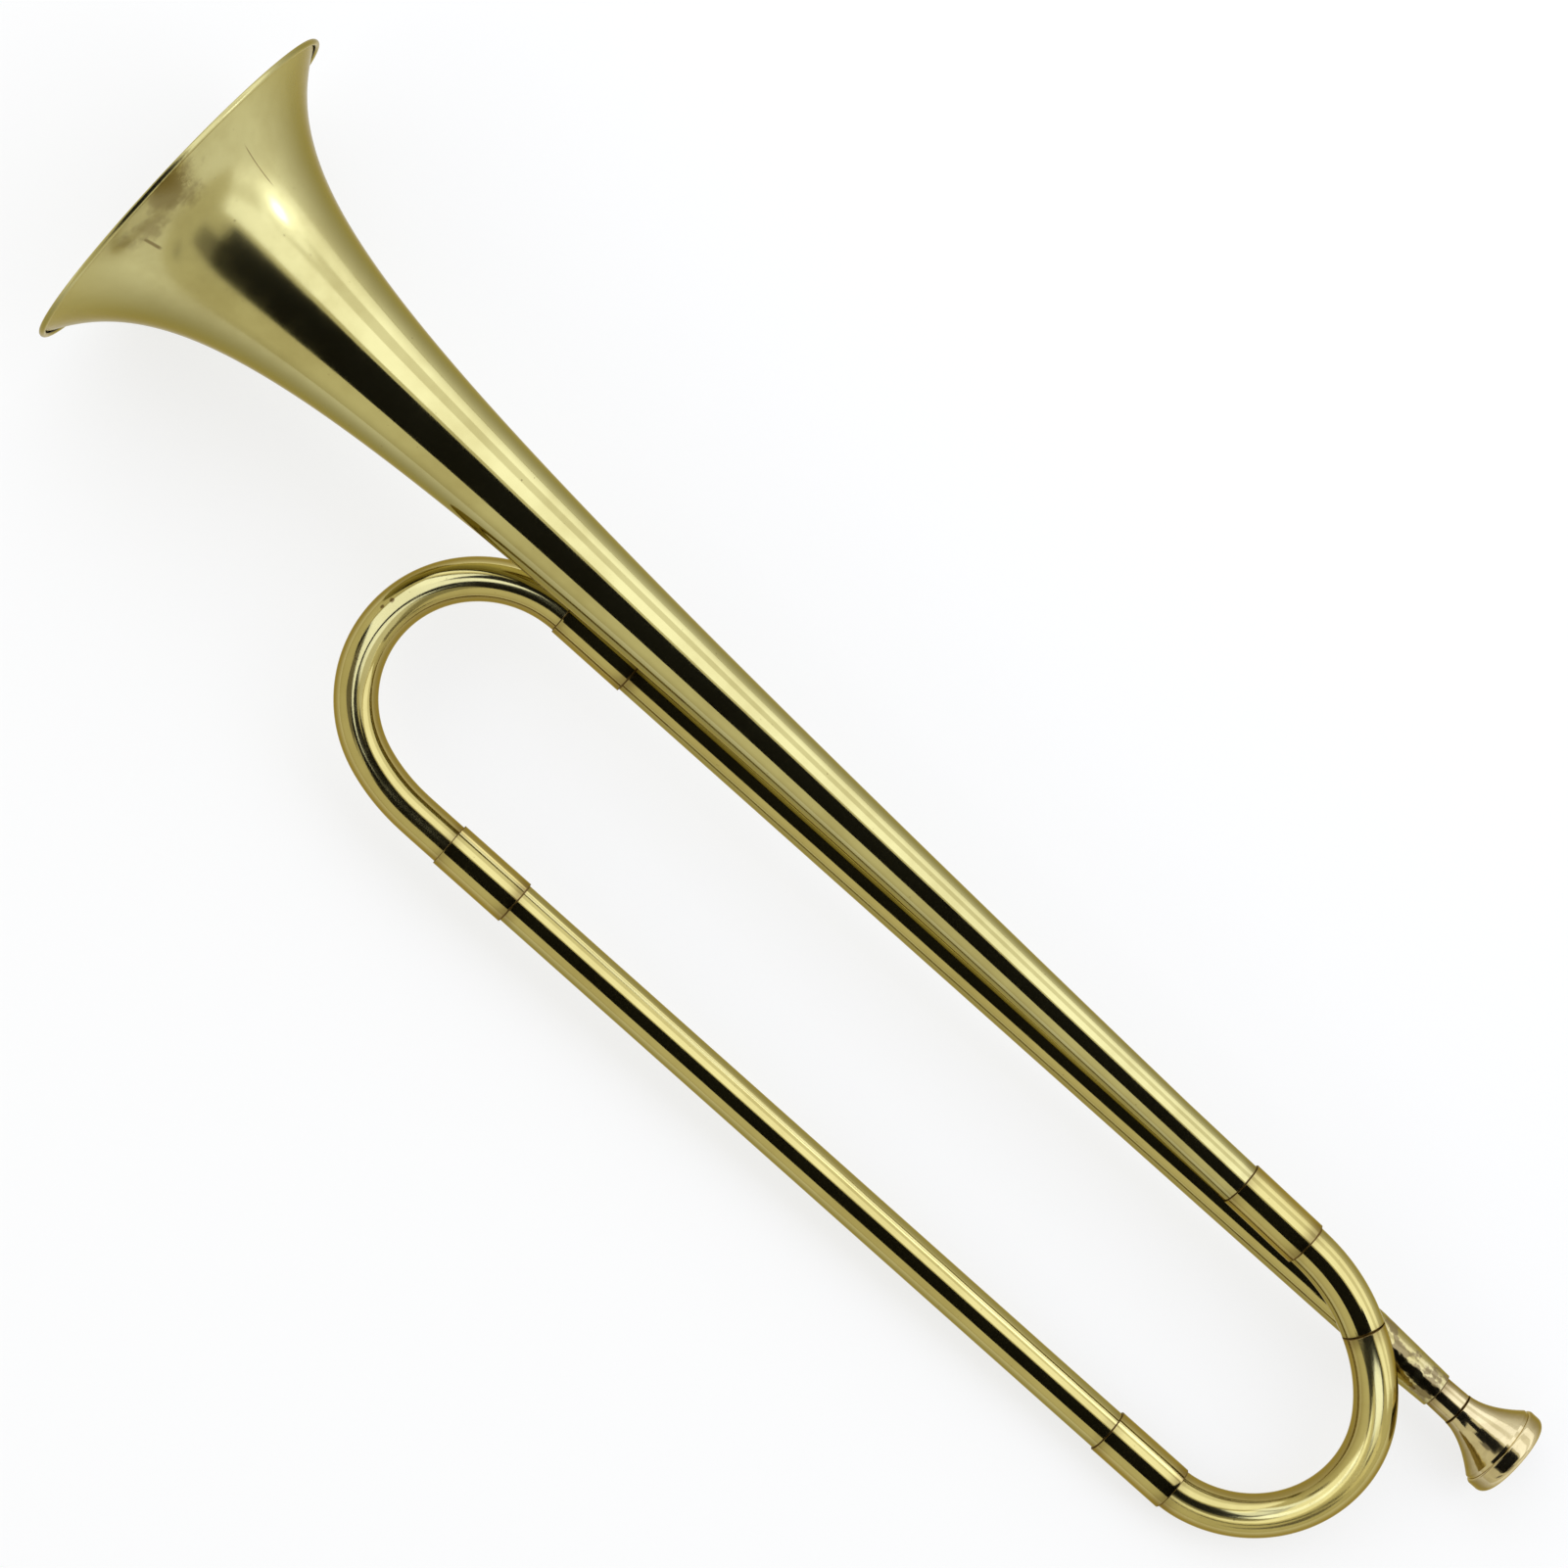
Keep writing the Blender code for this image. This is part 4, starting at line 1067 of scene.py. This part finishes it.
def dark_card(flag):
    """A card above the instrument, which gives the dark bands on its polished sides."""
    card = plane(flag.name, flag.low, flag.high, flag.height)
    card.rotation_euler = (0.0, 0.0, math.radians(flag.turn))
    card.visible_camera = False
    card.visible_shadow = flag.blocks
    card.visible_diffuse = flag.blocks
    material, shader = new_material(flag.name)
    shader.show(shader.add("ShaderNodeBsdfDiffuse", Color=flag.colour))
    card.data.materials.append(material)


def soft_light(name, size, radiance, colour, receivers=()):
    """An area light of an even radiance, left at the origin to shine down, for all or some pieces."""
    data = bpy.data.lights.new(name, "AREA")
    data.shape = "RECTANGLE"
    data.size, data.size_y = size
    data.color = colour
    data.energy = radiance * math.pi * size[0] * size[1]
    light = bpy.data.objects.new(name, data)
    light.visible_camera = False
    bpy.context.scene.collection.objects.link(light)
    if receivers:
        chosen = bpy.data.collections.new(name)
        for piece in receivers:
            chosen.objects.link(bpy.data.objects[piece])
        light.light_linking.receiver_collection = chosen
    return light


def strip_light(strip):
    """A long softbox beside the zenith, on the side away from the loop."""
    first = math.radians(strip.first)
    last = math.radians(strip.last)
    middle = (first + last) / 2
    width = 2.0 * STRIP_DISTANCE * math.tan((last - first) / 2)
    light = soft_light(strip.name, (STRIP_LENGTH, width), strip.radiance, STRIP_COLOUR)
    light.location = (0.0, -STRIP_DISTANCE * math.sin(middle), STRIP_DISTANCE * math.cos(middle))
    light.rotation_euler = (middle, 0.0, 0.0)


def spot_light(name, size, radiance):
    """A softbox aimed at the flare, which only the bell takes."""
    aim = Vector(SPOT_AIM).normalized()
    light = soft_light(name, (size, size), radiance, STRIP_COLOUR, ["spun_bell"])
    light.location = Vector(SPOT_TARGET) + aim * SPOT_DISTANCE
    light.rotation_euler = aim.to_track_quat("Z", "Y").to_euler()


def bow_light(card, height):
    """A pale card under the dark ones that only a bow sees, so that its top stays bright."""
    light = soft_light(card.name, card.size, card.radiance, card.colour, card.bows)
    light.location = (*card.place, height)
    light.rotation_euler = (0.0, 0.0, math.radians(card.turn))


def loop_light():
    """A narrow card inside the loop that the lower tube sees low beside it."""
    light = soft_light("loop_card", LOOP_CARD_SIZE, LOOP_CARD_RADIANCE, STRIP_COLOUR, LOWER_PIECES)
    middle = INSTRUMENT @ ((LOWER_FRONT + LOWER_REAR) / 2)
    light.location = middle + Vector(LOOP_CARD_OFFSET)
    light.rotation_euler = (math.pi / 2, 0.0, 0.0)


def floor_light():
    """A soft light that only the floor takes, so that it stays white and keeps the shadow."""
    light = soft_light("floor_light", FLOOR_LIGHT_SIZE, FLOOR_LIGHT_RADIANCE, FLOOR_LIGHT_COLOUR,
                       ["studio_floor"])
    light.location = (0.0, 0.0, FLOOR_LIGHT_HEIGHT)


def world():
    sky = bpy.data.worlds.new("pale_studio")
    sky.use_nodes = True
    background = sky.node_tree.nodes["Background"]
    background.inputs["Color"].default_value = (*WALL_COLOUR, 1.0)
    background.inputs["Strength"].default_value = WALL_LIGHT
    bpy.context.scene.world = sky


def light_stage():
    camera()
    floor()
    for flag in FLAGS:
        dark_card(flag)
    for strip in STRIPS:
        strip_light(strip)
    spot_light("spot_light", SPOT_SIZE, SPOT_RADIANCE)
    spot_light("spot_glow", GLOW_SIZE, GLOW_RADIANCE)
    for card in BOW_CARDS:
        bow_light(card, CARD_HEIGHT)
    for card in FRONT_CARDS:
        bow_light(card, FRONT_CARD_HEIGHT)
    loop_light()
    floor_light()
    world()
    bpy.context.scene.view_settings.view_transform = "Standard"


dress_bugle()
light_stage()
